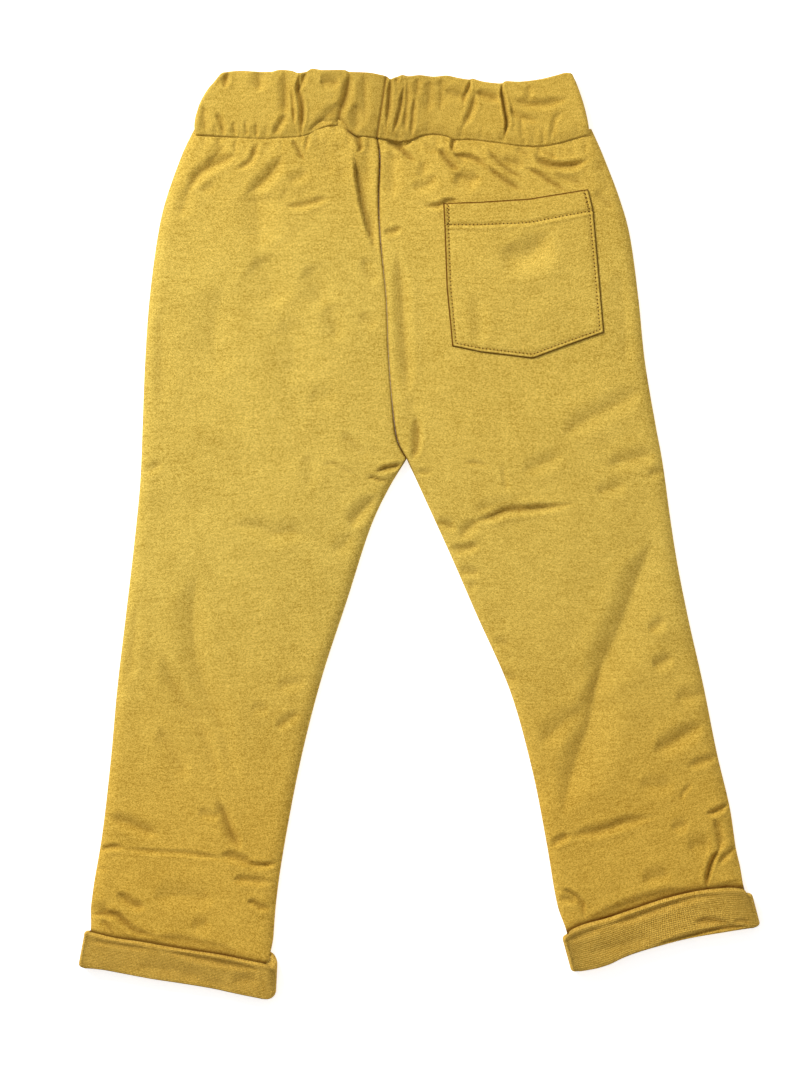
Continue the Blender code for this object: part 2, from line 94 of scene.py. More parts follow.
# %% Smooth curves through short tables
def through(knots, shares):
    """Places on a smooth curve through the knots, at shares of its length in knots."""
    knots = np.asarray(knots, float)
    steps = len(knots) - 1
    place = np.clip(np.asarray(shares, float), 0, 1) * steps
    i = np.minimum(place.astype(int), steps - 1)
    t = (place - i)[:, None]
    a, b, c, d = (knots[np.clip(i + k, 0, steps)] for k in (-1, 0, 1, 2))
    start = (2 * t**3 - 3 * t**2 + 1) * b + (t**3 - 2 * t**2 + t) * (c - a) / 2
    return start + (3 * t**2 - 2 * t**3) * c + (t**3 - t**2) * (d - b) / 2


def smooth_step(x):
    x = np.clip(x, 0, 1)
    return x * x * (3 - 2 * x)


def mix(a, b, share):
    return a + (b - a) * share


# %% [markdown]
# Each leg has a table of sections. A section gives the outer side and the inner edge: that is
# the centre seam down to the crotch, and the inseam below it. The numbers were measured again
# after the solid pieces were made, so the visible cloth lies within a few millimetres of them
# and not exactly on them.

# %% Sections down each leg
Section = namedtuple("Section", "place outer_x outer_y inner_x inner_y")

LEFT_LEG = [
    Section("waist seam", -136.8, 239, -25.5, 237.5),
    Section("gathers", -143.2, 226, -24.0, 226),
    Section("upper hip", -152.3, 201, -24.7, 201),
    Section("hip", -157.4, 178, -23.8, 178),
    Section("seat", -162.2, 141, -20.2, 141),
    Section("lower seat", -164.8, 104, -18.9, 108),
    Section("rise", -166.3, 66, -16.4, 76),
    Section("low rise", -167, 46, -13.7, 57),
    Section("crotch", -168, 28, -8.0, 45.5),
    Section("below crotch", -169.7, 10, -19.2, 27),
    Section("upper thigh", -172.3, -14, -30.2, 3),
    Section("thigh", -176.8, -52, -43.7, -39),
    Section("lower thigh", -181.5, -92, -59, -86),
    Section("knee", -185.3, -134, -71.5, -135),
    Section("calf", -190.3, -178, -81.3, -186),
    Section("lower calf", -195.6, -210, -86.4, -222),
    Section("hem line", -199.0, -237, -88.6, -256),
]

RIGHT_LEG = [
    Section("waist seam", 104.4, 239, -25.5, 237.5),
    Section("gathers", 110.2, 226, -24.0, 226),
    Section("upper hip", 119.8, 201, -24.7, 201),
    Section("hip", 126, 178, -23.8, 178),
    Section("seat", 131, 141, -20.2, 141),
    Section("lower seat", 134.8, 104, -18.9, 108),
    Section("rise", 141.2, 66, -16.4, 76),
    Section("low rise", 144.8, 47, -13.7, 57),
    Section("crotch", 147.3, 30, -8.0, 45.5),
    Section("below crotch", 150, 10, 2.8, 22),
    Section("upper thigh", 154.4, -18, 19.2, -14),
    Section("thigh", 161.2, -52, 34.0, -48),
    Section("lower thigh", 169.8, -90, 53.8, -93),
    Section("knee", 177.8, -130, 67.0, -140),
    Section("calf", 185.6, -163, 75.7, -184),
    Section("lower calf", 189.8, -190, 80.7, -214),
    Section("hem line", 195.9, -212, 86.0, -238),
]
CROTCH = [s.place for s in LEFT_LEG].index("crotch")
print(len(LEFT_LEG), "sections down each leg, crotch at", LEFT_LEG[CROTCH].inner_y, "mm")

# %% [markdown]
# Where a leg meets its turned-up hem, the rim of the hem makes a line across it. The leg has
# to dip under that line, so it is written down before the leg is made.

# %% Rims of the turned-up hems
LEFT_HEM_TOP = [
    (-200.6, -236.2), (-184, -240.2), (-168, -242.6), (-151.5, -245.5), (-135, -248.2),
    (-118.5, -250.7), (-102, -254.1), (-85.9, -257.3),
]
RIGHT_HEM_TOP = [
    (84.4, -239.6), (89, -235.9), (97.5, -232.4), (111, -228.8), (129, -222.7), (147, -216.8),
    (165, -212.6), (178.4, -210.8), (188, -210.3), (194.6, -211), (198.3, -213.4),
]
print("the rims are", len(LEFT_HEM_TOP), "and", len(RIGHT_HEM_TOP), "points long")

# %% [markdown]
# The waist seam isn't straight. The elastic pulls it up into small arches and lets it drop
# between them, so it has a table of its own, from the left end to the right end as seen.

# %% Waist seam and the band's top edge
WAIST_SEAM = [
    (-135.4, 240.4), (-131.5, 239.1), (-120.4, 238.3), (-109.2, 237.5), (-93.4, 236.7),
    (-72.7, 238), (-67, 239.2), (-61.5, 242.2), (-56, 244.2), (-51, 244.7), (-46, 243.6),
    (-41.5, 240.8), (-37, 238.4), (-29.8, 237.8), (-20, 236.4), (-12, 234.9), (-5, 236.2),
    (1.5, 238.8), (9, 239.5), (15.5, 238.4), (20.8, 236.2), (30, 236.3), (45, 234.4),
    (60, 232.5), (72, 232.3), (82, 233.8), (92, 236.7), (102.4, 239.6),
]
BAND_TOP = [
    (-119, 275.7), (-115, 276.8), (-107, 277.5), (-98, 277), (-89, 276.9), (-84, 278),
    (-77, 277.5), (-73, 276.2), (-68, 276.9), (-64.5, 278.7), (-58, 277.9), (-46, 278),
    (-42, 276.9), (-31, 276.4), (-24, 275.2), (-20, 274.2), (-17.8, 272.6), (-14.5, 273.7),
    (-10.5, 275), (-7, 274.3), (0, 274.9), (8, 274), (16, 274.6), (23, 273.2), (29.3, 272.3),
    (31.5, 272.8), (37, 271.2), (45, 270.1), (49, 270.1), (51.5, 271.3), (60, 271),
    (72, 272.5), (81, 274.7), (87.5, 276.3), (91.5, 274.8),
]


def line_y(table, x):
    """The height of a wandering line at x, with its corners rounded off."""
    shares = np.linspace(0, 1, 40 * len(table))
    curve = through(table, shares)
    return np.interp(x, curve[:, 0], curve[:, 1])


seam_heights = [y for x, y in WAIST_SEAM]
print("the seam drops", round(max(seam_heights) - min(seam_heights), 1), "mm between its arches")

# %% [markdown]
# A crease is a soft trough with a low shoulder on each side, because cloth that sinks in one
# place has to bulge beside it. Few creases are even: cloth drops sharply on one side, where it
# starts to fold over, and climbs slowly on the other. `lean` says which side is the sharp one,
# the left of the path (+) or the right of it (-). Each crease fades at both ends.
#
# Relief alone leaves many creases too faint, above all those that run along the light. So each
# crease also paints shade along its deepest line, and `shade` says how strongly. A path
# follows what the eye sees, the bank turned away from the window, and `beyond_shade` moves it
# from there to the bottom of the trough.

# %% Creases
Fold = namedtuple("Fold", "path width depth lean shade", defaults=(0, 1))
FOLD_STEPS = 16
FOLD_REACH = 5
FOLD_GAIN = 1.05
FOLD_LINE = 0.45
STEEPEST_INSIDE = 1.25
SHOULDER = 0.24
SHOULDER_PLACE = 1.9
SHOULDER_SPREAD = 0.9
LEAN_SHARE = 0.75
TAPER = 0.8
END_SHARE = 0.3
END_START = 0.06
TO_WINDOW = (-0.67, 0.74)
SHADED_BANK = 0.4
NARROW = 2.6
DARK_DEPTH = 2.6
DARK_CORE = 2.4


def beyond_shade(fold):
    """From the shaded bank, where a crease was seen, to its deepest line."""
    along = np.subtract(fold.path[-1], fold.path[0])
    left_of = np.array([-along[1], along[0]]) / np.hypot(*along)
    facing = left_of @ TO_WINDOW
    bank = fold.width * (1 - LEAN_SHARE * fold.lean * np.sign(facing))
    return -left_of * facing * SHADED_BANK * bank


def fold_shape(x, y, folds):
    """How far the folds lift (+) or sink (-) the cloth at each place, and their painted shade."""
    height = np.zeros_like(x)
    dark = np.zeros_like(x)
    for fold in folds:
        line = through(fold.path, np.linspace(0, 1, FOLD_STEPS)) + beyond_shade(fold)
        reach = FOLD_REACH * fold.width
        low, high = line.min(0) - reach, line.max(0) + reach
        near = (x > low[0]) & (x < high[0]) & (y > low[1]) & (y < high[1])
        px, py = x[near], y[near]
        nearest = np.full(px.shape, reach)
        signed = np.full(px.shape, reach)
        place = np.zeros(px.shape)
        for k in range(FOLD_STEPS - 1):
            a, run = line[k], line[k + 1] - line[k]
            t = np.clip(((px - a[0]) * run[0] + (py - a[1]) * run[1]) / (run @ run), 0, 1)
            dx, dy = px - a[0] - run[0] * t, py - a[1] - run[1] * t
            gap = np.hypot(dx, dy)
            closer = gap < nearest
            nearest = np.where(closer, gap, nearest)
            side = np.sign(run[0] * dy - run[1] * dx)
            signed = np.where(closer, gap * side, signed)
            place = np.where(closer, (k + t) / (FOLD_STEPS - 1), place)
        ends = smooth_step(np.minimum(place, 1 - place) / END_SHARE + END_START)
        s = signed / (fold.width * mix(1, ends, TAPER))
        s = s / np.where(s > 0, 1 - LEAN_SHARE * fold.lean, 1 + LEAN_SHARE * fold.lean)
        s = np.hypot(s, FOLD_LINE / fold.width)
        trough = np.exp(-(s**STEEPEST_INSIDE))
        shoulders = SHOULDER * np.exp(-((s - SHOULDER_PLACE) ** 2) / SHOULDER_SPREAD)
        height[near] += FOLD_GAIN * fold.depth * ends * (shoulders - trough)
        # Painted shade along the crease's deepest line, strongest in narrow creases.
        narrow = min(NARROW / fold.width, 1) ** 2
        dark[near] += fold.shade * fold.depth * ends * trough**DARK_CORE * narrow / DARK_DEPTH
    return height, np.clip(dark, 0, 1)


# %% [markdown]
# These are the creases that show on the back of the left leg, read one by one: gathers that
# run out from the waistband, a big fold beside the centre seam, drag lines at the crotch, and
# the cross creases above the turned-up hem, where the leg was bent.

# %% Creases of the left leg
LEFT_FOLDS = [
    # gathers below the waistband
    Fold([(-145, 190), (-142, 199), (-139, 208)], 3.6, 1.3),
    Fold([(-140, 204), (-137.5, 210), (-133, 216.5), (-127.5, 220.5), (-121, 223.8),
          (-115, 226.3), (-110, 227.8)], 2.8, 2.6),
    Fold([(-128, 222), (-124, 226.5), (-121, 230), (-117.5, 235)], 3.2, 1.5),
    Fold([(-110.2, 236), (-110.7, 232), (-110, 228.5)], 0.9, 1.0),
    Fold([(-111.5, 218.5), (-107, 220.5), (-102.5, 223), (-100, 227), (-98.7, 231.5),
          (-96.5, 236)], 1.6, 1.9),
    Fold([(-107, 203), (-100, 207.5), (-95, 212), (-90.5, 216.5), (-86, 222.5), (-83, 228.5)],
         3.4, 2.4),
    Fold([(-100, 206), (-99, 192), (-97, 170)], 8.0, 2.2),
    Fold([(-131, 206), (-127, 208.5), (-122, 209)], 2.6, 0.9),
    Fold([(-76.7, 236.5), (-73.5, 231.5), (-69, 223)], 1.2, 2.2, 0.3, 3),
    Fold([(-67, 239.5), (-67.8, 235), (-69, 229)], 1.0, 1.8, 0, 1.5),
    Fold([(-79, 211), (-73, 215), (-67, 218)], 2.8, 1.0),
    Fold([(-82, 198), (-75, 197), (-68, 198.3), (-61, 200.3), (-54, 202)], 1.8, 2.1),
    Fold([(-84, 206), (-76, 202), (-62, 203)], 5.0, 1.1),
    Fold([(-46, 244.5), (-42, 241), (-38, 238), (-36, 234.5), (-35.8, 231), (-38.5, 228)],
         1.5, 3.0, 0, 2),
    Fold([(-40, 229), (-38.9, 220), (-37.4, 211), (-35.4, 199), (-32.8, 188.3), (-30, 179),
          (-26, 166)], 3.2, 4.4, -0.9, 1.4),
    Fold([(-31, 236), (-33, 222), (-31, 206)], 3.6, 1.4),
    Fold([(-92, 235), (-90, 229)], 1.6, 0.9),
    Fold([(-58, 237), (-57, 226), (-54, 214)], 4.0, 1.0),
    Fold([(-50, 236), (-49, 224), (-47, 210)], 4.4, 0.9),
    Fold([(-120, 238), (-121, 233)], 1.6, 0.9),
    # the seat
    Fold([(-34, 166), (-31, 157), (-27, 150)], 4.2, 1.5, -0.3),
    Fold([(-70, 160), (-62, 149), (-60, 134)], 7.0, 1.7),
    Fold([(-57, 138), (-52, 127), (-52, 115)], 5.0, 1.4),
    Fold([(-100, 165), (-92, 152), (-86, 134)], 9.0, 2.0),
    Fold([(-36, 132), (-30, 128), (-27, 125)], 4.0, 1.0),
    Fold([(-66, 86), (-59, 84), (-50, 88)], 6.0, 1.0),
    Fold([(-156, 135), (-157, 105), (-156, 75)], 5.0, 1.0),
    Fold([(-120, 150), (-126, 120), (-122, 92)], 9.0, 1.4),
    Fold([(-84, 130), (-78, 112), (-82, 90)], 10.0, 1.3),
    # drag lines at the crotch
    Fold([(-27, 38.4), (-21, 40.3), (-15.5, 41.6), (-10.5, 42.8)], 1.5, 3.0, 0.2, 2),
    Fold([(-32, 35.7), (-28, 34.6), (-24, 33.1), (-17, 32)], 1.1, 2.4, 0.2, 2.5),
    Fold([(-60, 40.2), (-55, 42.4), (-50.5, 42.2), (-46, 39.3), (-40, 36), (-34, 31)],
         1.2, 1.2, 0, 1.5),
    Fold([(-27, 25), (-33, 18), (-39, 12), (-43, 5)], 4.2, 2.4),
    Fold([(-42, 2), (-47, -5), (-54, -9)], 4.0, 1.0),
    Fold([(-47, 62), (-39, 53), (-30, 45)], 3.0, 1.2),
    Fold([(-116, 6), (-97, 6), (-87, 2), (-75, 3), (-64, -3)], 4.6, 1.5),
    Fold([(-166, 39), (-160, 41), (-155, 44)], 2.4, 1.4),
    Fold([(-68, 48), (-67, 38), (-67, 27)], 4.0, 0.9),
    # long hollows down the leg
    Fold([(-170, -40), (-174, -69), (-176, -90)], 3.4, 1.2),
    Fold([(-134, -22), (-137, -45), (-135, -76), (-123, -110), (-107, -153)], 6.5, 2.2),
    Fold([(-155, -70), (-149, -87), (-140, -104), (-130, -120), (-119, -148)], 4.6, 2.4),
    Fold([(-157, -115), (-148, -131), (-139, -146)], 4.0, 1.5),
    Fold([(-101, -102), (-96, -103), (-90, -103)], 3.0, 1.0),
    Fold([(-87, -115), (-80, -110), (-72, -105)], 2.6, 1.4),
    Fold([(-86, -90), (-78, -88), (-68, -86)], 3.0, 1.0),
    # cross creases above the hem
    Fold([(-124, -158), (-119, -164), (-116, -171), (-113.5, -178), (-110, -184),
          (-107, -189)], 2.8, 2.6, 0, 1.5),
    Fold([(-133, -165), (-126, -166.6), (-119, -167.3)], 2.4, 1.4),
    Fold([(-188, -167), (-180, -170), (-172, -172.5), (-163, -176.5), (-154, -179.5)], 3.2, 2.1),
    Fold([(-192.5, -188.6), (-188, -186.9), (-183.5, -186.2), (-176, -187.2)], 1.4, 2.7),
    Fold([(-182, -186.4), (-168, -188.2), (-152, -189.4), (-138, -190.2), (-124, -192.3),
          (-112, -194)], 1.3, 1.6),
    Fold([(-120, -191), (-112, -191.8), (-106, -193.8), (-100, -196)], 2.4, 2.4),
    Fold([(-105, -195), (-99, -197), (-93, -197.1), (-83.5, -195.3)], 1.5, 2.8),
    Fold([(-113, -205.6), (-106, -205.5), (-98, -206.3), (-86, -207.6)], 1.9, 1.9),
    Fold([(-193, -198), (-190, -199.5), (-186, -200.5)], 1.2, 1.1),
    Fold([(-182, -213.5), (-176, -217.3), (-170, -221), (-163, -222.3)], 2.4, 2.4, 0, 1.3),
    Fold([(-104, -219.3), (-99.5, -219.6), (-95, -222.3), (-88.5, -223.8)], 1.8, 2.5, 0, 1.3),
    Fold([(-160, -215), (-140, -214), (-122, -217)], 6.0, 1.4),
    Fold([(-199, -223), (-192, -222.3), (-186, -223.6)], 2.6, 2.0),
    Fold([(-199, -227.5), (-194, -226.3), (-187, -226.2), (-181, -227.2), (-176.5, -231.2),
          (-171.5, -235.8), (-164, -238.3), (-155, -240)], 1.8, 3.1, 0, 1.9),
    Fold([(-160, -239.2), (-150, -241), (-138, -243.4), (-126, -246), (-114, -249),
          (-103, -252.5)], 2.4, 1.9),
    Fold([(-191, -229.5), (-187.5, -233), (-184.8, -236.3), (-182, -239)], 1.5, 2.5, 0, 1.8),
    Fold([(-137, -232), (-131, -232), (-126, -230)], 4.0, 1.1),
]
print(len(LEFT_FOLDS), "creases on the left leg")

# %% [markdown]
# The right leg carries the pocket, so its gathers fan out towards the pocket's top edge.
# Below the crotch it has the deepest drag line of all, and one long wide hollow that runs from
# the side of the knee to the inseam.

# %% Creases of the right leg
RIGHT_FOLDS = [
    # gathers below the waistband
    Fold([(-20, 236.5), (-14, 233.5), (-9, 233.5)], 2.6, 2.2, 0, 2),
    Fold([(-16, 235.5), (-12.5, 232), (-9.5, 229), (-6, 226), (-2, 223)], 1.5, 2.8, 0, 2.5),
    Fold([(-9.5, 232.5), (-7.8, 234.5), (-5, 236)], 1.1, 1.8, 0, 1.5),
    Fold([(-1, 224), (1, 220), (0, 216.5), (-4, 215.5)], 3.0, 1.3),
    Fold([(8, 217), (5.5, 212.5), (0, 209.5), (-6, 210)], 3.4, 1.6),
    Fold([(-17, 232), (-18, 218), (-18, 200)], 4.0, 1.6),
    Fold([(3, 236), (6, 231), (9, 230.5)], 1.6, 0.9),
    Fold([(20.3, 238.5), (19.2, 234.5), (18.8, 231.5), (19.6, 229)], 1.2, 2.6, -0.2, 2),
    Fold([(9, 230.5), (12.5, 229.3), (15, 226.2), (18, 222.4), (21, 219.6), (24.5, 217)],
         1.8, 2.6, 0, 2.2),
    Fold([(20, 217), (26, 214.5), (31, 213.5), (37, 215)], 3.6, 2.4),
    Fold([(19, 212), (26, 209.5), (33, 208)], 4.5, 1.1),
    Fold([(19.5, 229.5), (22, 227.3), (27, 226.6), (31, 225.9), (34.5, 224.4), (38, 222),
          (42, 219)], 1.4, 2.8, 0.2, 1.9),
    Fold([(37, 222.6), (42, 219), (46.5, 215.6), (51, 212.2), (55, 209.7), (59, 207.3), (64, 204)],
         1.4, 2.5, 0.2, 2.4),
    Fold([(20.5, 228.5), (23.5, 225.5), (28.5, 220.5)], 1.2, 1.0, 0, 2),
    Fold([(41, 232), (43, 227.5), (47, 223.6), (51, 220), (57, 216), (65, 211.5)],
         1.6, 1.9, 0.2, 2.5),
    Fold([(48, 225.5), (55, 223.4), (63, 221.5)], 2.6, 1.3, 0, 1.5),
    Fold([(60, 220.3), (66, 218.7), (70, 217), (74, 214.4), (78, 211.5), (82, 209.2),
          (86, 206.5), (91, 204.6)], 1.3, 2.5, 0.2, 2.4),
    Fold([(58, 231.5), (62, 229.2), (66, 226.5)], 1.8, 1.0, 0, 2),
    Fold([(69, 230), (70.2, 226.4), (73, 224), (77, 222.1), (82, 221.3), (88, 221.3), (93, 222),
          (97.5, 223.6), (103, 227)], 1.9, 3.2, 0.2, 1.3),
    Fold([(73.3, 232.5), (75, 229), (78, 226.8), (84, 225.5)], 1.0, 1.6, 0, 1.3),
    Fold([(70, 232), (71.8, 228.5)], 0.9, 1.0, 0, 1.5),
    Fold([(81, 219), (86, 214), (92, 212), (100, 208)], 2.6, 1.3, 0, 1.5),
    Fold([(0, 197.7), (7, 197.2), (12, 198), (16, 199.9), (20, 200.1), (25, 199)],
         1.6, 2.6, 0.2, 1.5),
    Fold([(-22, 182), (-17, 181.6), (-11, 184.5)], 1.8, 2.1),
    Fold([(104, 226), (110, 214), (113, 202)], 3.6, 1.1),
    Fold([(104, 206), (110, 201), (116, 194)], 3.0, 1.2, 0, 1.5),
    # the seat
    Fold([(-15, 172), (-12, 150), (-11, 125), (-9, 100), (-8, 82)], 3.4, 2.1),
    Fold([(31, 143), (35, 130), (34, 112)], 3.4, 1.6),
    Fold([(46, 172), (58, 168), (68, 172), (77, 183)], 7.0, 3.4),
    Fold([(118, 160), (121, 130), (122, 100)], 6.0, 1.1),
    Fold([(84, 60), (96, 69), (118, 81), (133, 89)], 5.0, 1.6),
    Fold([(60, 39), (72, 44), (85, 50)], 4.0, 1.1),
    Fold([(111, 42), (126, 47), (141, 50)], 4.0, 1.5),
    Fold([(105, 27), (114, 29), (123, 32)], 3.6, 1.2),
    Fold([(136, 37), (141, 38), (147, 41)], 2.2, 1.4),
    Fold([(49, 43), (50, 36), (50.8, 30), (51, 25)], 1.4, 1.0),
    Fold([(27, 43.2), (34, 43.2), (41, 40.7)], 1.3, 1.2, 0, 1.5),
    Fold([(-3.2, 74), (-2.2, 64), (-2.2, 56), (-3.2, 50), (-6, 44)], 2.0, 2.8, 0.2, 1.5),
    Fold([(-6, 86), (-5.5, 66), (-5, 50)], 4.5, 1.1),
    Fold([(-2, 38.5), (2, 38), (8, 37.6)], 1.5, 1.5, 0, 1.5),
    # the drag line across the thigh, and its smaller ones
    Fold([(29, 7), (36, 9.8), (43, 11.8), (49, 14.6), (55, 15.7), (63, 16.3), (72, 17),
          (84, 18.2), (98, 21)], 2.0, 3.2, 0.2, 1.3),
    Fold([(23, 0), (28, 4.5), (34, 9)], 3.0, 1.8),
    Fold([(32, 16), (48, 18.4), (64, 19.6)], 3.6, 1.2),
    Fold([(9, 8.8), (15, 7), (22, 4)], 2.6, 2.1),
    Fold([(17, -6.3), (24, -8), (30, -6.8), (36, -4.5)], 2.2, 2.4),
    Fold([(23, -20), (30, -21.3), (36, -22.5)], 2.4, 1.7),
    Fold([(28, -31), (34, -28)], 2.0, 1.0),
    # the long hollow and what lies beside it
    Fold([(137, -3), (130, -20), (123, -40), (115, -60), (106, -80), (102, -100)], 9.0, 3.1, -0.4),
    Fold([(108, -75), (102.5, -95), (99.5, -112), (93, -130), (88, -147), (83, -168)],
         8.0, 3.1, -0.4),
    Fold([(97, -101), (88, -108), (78, -117), (70, -124)], 5.0, 1.5),
    Fold([(136, -57), (141, -53), (146, -50)], 3.0, 1.7),
    Fold([(138, -78), (144, -75), (151, -71)], 3.4, 1.8),
    Fold([(47, -80), (53, -84), (59, -87)], 2.4, 1.6),
    Fold([(44, -63), (49, -64), (54, -66)], 2.2, 1.1),
    Fold([(152, -97), (162, -95), (171, -93)], 4.0, 1.4),
    Fold([(138, -128), (148, -124), (158, -118), (170, -111)], 4.4, 2.6),
    Fold([(158, -138.5), (166, -135.5), (172, -133.5), (178, -131)], 2.2, 1.9),
    Fold([(155, -158), (158, -153), (162.5, -147.5)], 1.2, 1.4),
    Fold([(130, -148), (142, -149), (152, -147)], 4.0, 1.3),
    # creases above the hem
    Fold([(170, -166.8), (176, -164.9), (180, -163), (185, -159.8)], 1.6, 2.9),
    Fold([(175, -169), (177.3, -174), (178.9, -179), (179.4, -184), (178, -189.5)], 2.4, 2.1),
    Fold([(179, -186), (177, -191), (174.6, -195.5), (172.8, -201), (171.6, -206.5),
          (171, -213)], 1.3, 3.4, 0.5, 2.5),
    Fold([(178, -197), (182, -192), (186, -188.5), (190, -184.5)], 1.7, 2.0),
    Fold([(177, -209.7), (184, -208.9), (192, -207)], 1.3, 2.0),
    Fold([(77.5, -186.5), (81, -183), (85, -180.7), (91, -178.7)], 1.9, 2.2),
    Fold([(88, -179.5), (97, -177.5), (106, -176.3), (114, -173.8), (122, -170.8),
          (131, -169.2), (143, -167)], 2.6, 2.2),
    Fold([(150, -175), (155, -173), (160, -172)], 3.0, 1.4),
    Fold([(160, -186), (167, -184), (174, -184)], 5.0, 1.5),
    Fold([(132, -206), (141, -203), (150, -202)], 4.0, 1.6),
    Fold([(81, -211.8), (87, -212.4), (92, -214.7), (96, -218.5), (98.3, -223.5),
          (98, -231.5)], 1.4, 2.6, 0.4, 1.5),
    Fold([(83, -217.5), (89, -217), (94, -218.7)], 2.2, 2.1),
    Fold([(89, -232.5), (97, -231.8)], 1.0, 1.3),
    Fold([(97, -231), (111, -226.5), (127, -220), (146, -214), (166, -211)], 3.0, 2.4),
]
print(len(RIGHT_FOLDS), "creases on the right leg")

# %% [markdown]
# Between the creases the cloth is never truly flat. A very soft, wide unevenness is added
# everywhere. It comes from a small seeded grid of heights, read with smooth steps, so it is
# the same each time the script runs.

# %% Soft unevenness
CELLS = 64
Swell = namedtuple("Swell", "height width slant")
SWELLS = [Swell(0.42, 34, 0), Swell(0.22, 15, 0), Swell(0.09, 6, 0.3)]


def uneven(x, y, size, seed):
    """Smooth random heights between -1 and 1, with bumps about size millimetres wide."""
    cells = np.random.default_rng(seed).uniform(-1, 1, (CELLS, CELLS))
    gx, gy = x / size + CELLS / 2, y / size + CELLS / 2
    i, j = np.floor(gx).astype(int), np.floor(gy).astype(int)
    s, t = smooth_step(gx - i), smooth_step(gy - j)
    i, j = i % (CELLS - 1), j % (CELLS - 1)
    low = mix(cells[i, j], cells[i + 1, j], s)
    high = mix(cells[i, j + 1], cells[i + 1, j + 1], s)
    return mix(low, high, t)


def rumple(x, y, seed):
    """The unevenness of worn-soft knit: wide swells with finer ones on them."""
    return sum(swell.height * uneven(x + swell.slant * y, y, swell.width, seed + k)
               for k, swell in enumerate(SWELLS))


# %% [markdown]
# A panel is a grid of points: rows across the leg and columns down it. A real panel has the
# same two directions, the courses and wales of the knit, so the grid also gives each point its
# place in the flat cloth, which is kept as a UV map in metres for the knit to follow.
# Rows crowd together at the waist seam and columns at the rolled sides, where the cloth turns
# sharply. Both ends run on out of sight: 4 mm under the waistband, 12 mm into the hem.

# %% Grid of a leg
Grid = namedtuple("Grid", "x y outer inner below_waist above_hem tuck rolled side u v")
FIRST_ROW = 4.4
ROW_STEPS = [(0, 1.0), (60, 1.1), (85, 1.9), (165, 1.9), (185, 1.3), (245, 1.3), (270, 1.8),
             (405, 1.8), (425, 1.2), (540, 1.2)]
COLUMN_STEP = 1.45
FRONT_COARSER = 1.7
SEAM_STOPS = [-4, -2, -1, -0.5, 0, 0.35, 0.7, 1.1, 1.6, 2.3, 3.2]
HEM_TUCK = 12
TUCK_RAMP = 16
TUCK_INSET = 1.8
CROTCH_TURN = 16
ROLL_STOPS = 9
FRONT_ROLL_STOPS = 5
WAIST_ARCH_REACH = 42
EDGE_SAMPLES = 1500


def leg_edges(sections, shares):
    """The outer side and the inner edge of a leg; the inner edge has a corner at the crotch."""
    table = np.array([s[1:] for s in sections], float)
    outer = through(table[:, :2], shares)
    steps = len(sections) - 1
    place = np.asarray(shares) * steps
    above = through(table[: CROTCH + 1, 2:], place / CROTCH)
    below = through(table[CROTCH:, 2:], (place - CROTCH) / (steps - CROTCH))
    return outer, np.where((place <= CROTCH)[:, None], above, below)


def run_on(edge, stops, length):
    """Carry an edge straight on before its start and past its end."""
    start = (edge[1] - edge[0]) / np.hypot(*(edge[1] - edge[0]))
    finish = (edge[-1] - edge[-2]) / np.hypot(*(edge[-1] - edge[-2]))
    places = np.linspace(0, length, len(edge))
    inside = np.clip(stops, 0, length)
    held = np.stack([np.interp(inside, places, edge[:, k]) for k in (0, 1)], -1)
    before = np.minimum(stops, 0)[:, None] * start
    return held + before + np.maximum(stops - length, 0)[:, None] * finish


def row_stops(length, coarser):
    """Distances down a leg: rows stand close where creases crowd, and wide apart elsewhere."""
    stops = [*SEAM_STOPS, FIRST_ROW]
    places, steps = zip(*ROW_STEPS)
    while stops[-1] < length + HEM_TUCK:
        stops.append(stops[-1] + coarser * np.interp(stops[-1], places, steps))
    return np.array(stops)


def leg_grid(sections, coarser, roll_stops):
    """The rows and columns of a leg, from under the band to inside the hem."""
    shares = np.linspace(0, 1, EDGE_SAMPLES)
    outer, inner = leg_edges(sections, shares)
    middle = (outer + inner) / 2
    travel = np.concatenate([[0], np.cumsum(np.hypot(*np.diff(middle, axis=0).T))])
    length = travel[-1]
    even = np.interp(np.linspace(0, length, EDGE_SAMPLES), travel, shares)
    outer, inner = leg_edges(sections, even)
    stops = row_stops(length, coarser)
    outer = run_on(outer, stops, length)
    inner = run_on(inner, stops, length)
    width = np.hypot(*(inner - outer).T)
    roll = SIDE_ROLL * (1 - np.cos(np.linspace(0, np.pi / 2, roll_stops)[:-1]))
    body = np.linspace(0, 1, int(width.max() / COLUMN_STEP / coarser))
    runs = np.stack([
        np.concatenate([roll, SIDE_ROLL + (w - 2 * SIDE_ROLL) * body, w - roll[::-1]])
        for w in width
    ])
    share = runs / width[:, None]
    x = mix(outer[:, :1], inner[:, :1], share)
    y = mix(outer[:, 1:], inner[:, 1:], share)
    last = sections[-1]
    above_hem = y - mix(last.outer_y, last.inner_y, share)
    tuck = smooth_step(1 - above_hem / TUCK_RAMP)
    side = np.sign(inner[0, 0] - outer[0, 0])
    x = x + side * tuck * TUCK_INSET * (1 - 2 * share)
    waist = mix(sections[0].outer_y, sections[0].inner_y, share)
    arch = np.clip(1 - (waist - y) / WAIST_ARCH_REACH, 0, 1) ** 2
    y = y + (line_y(WAIST_SEAM, x) - waist) * arch
    rolled = smooth_step((sections[CROTCH].inner_y - y[:, -1:]) / CROTCH_TURN)
    u = (runs - width[:, None] / 2) * side
    v = np.repeat(-stops[:, None], x.shape[1], 1)
    below_waist = line_y(WAIST_SEAM, x) - y
    return Grid(x, y, runs, width[:, None] - runs, below_waist, above_hem, tuck, rolled, side, u, v)


left_grid = leg_grid(LEFT_LEG, 1, ROLL_STOPS)
right_grid = leg_grid(RIGHT_LEG, 1, ROLL_STOPS)
print("left leg grid", left_grid.x.shape, "right leg grid", right_grid.x.shape)
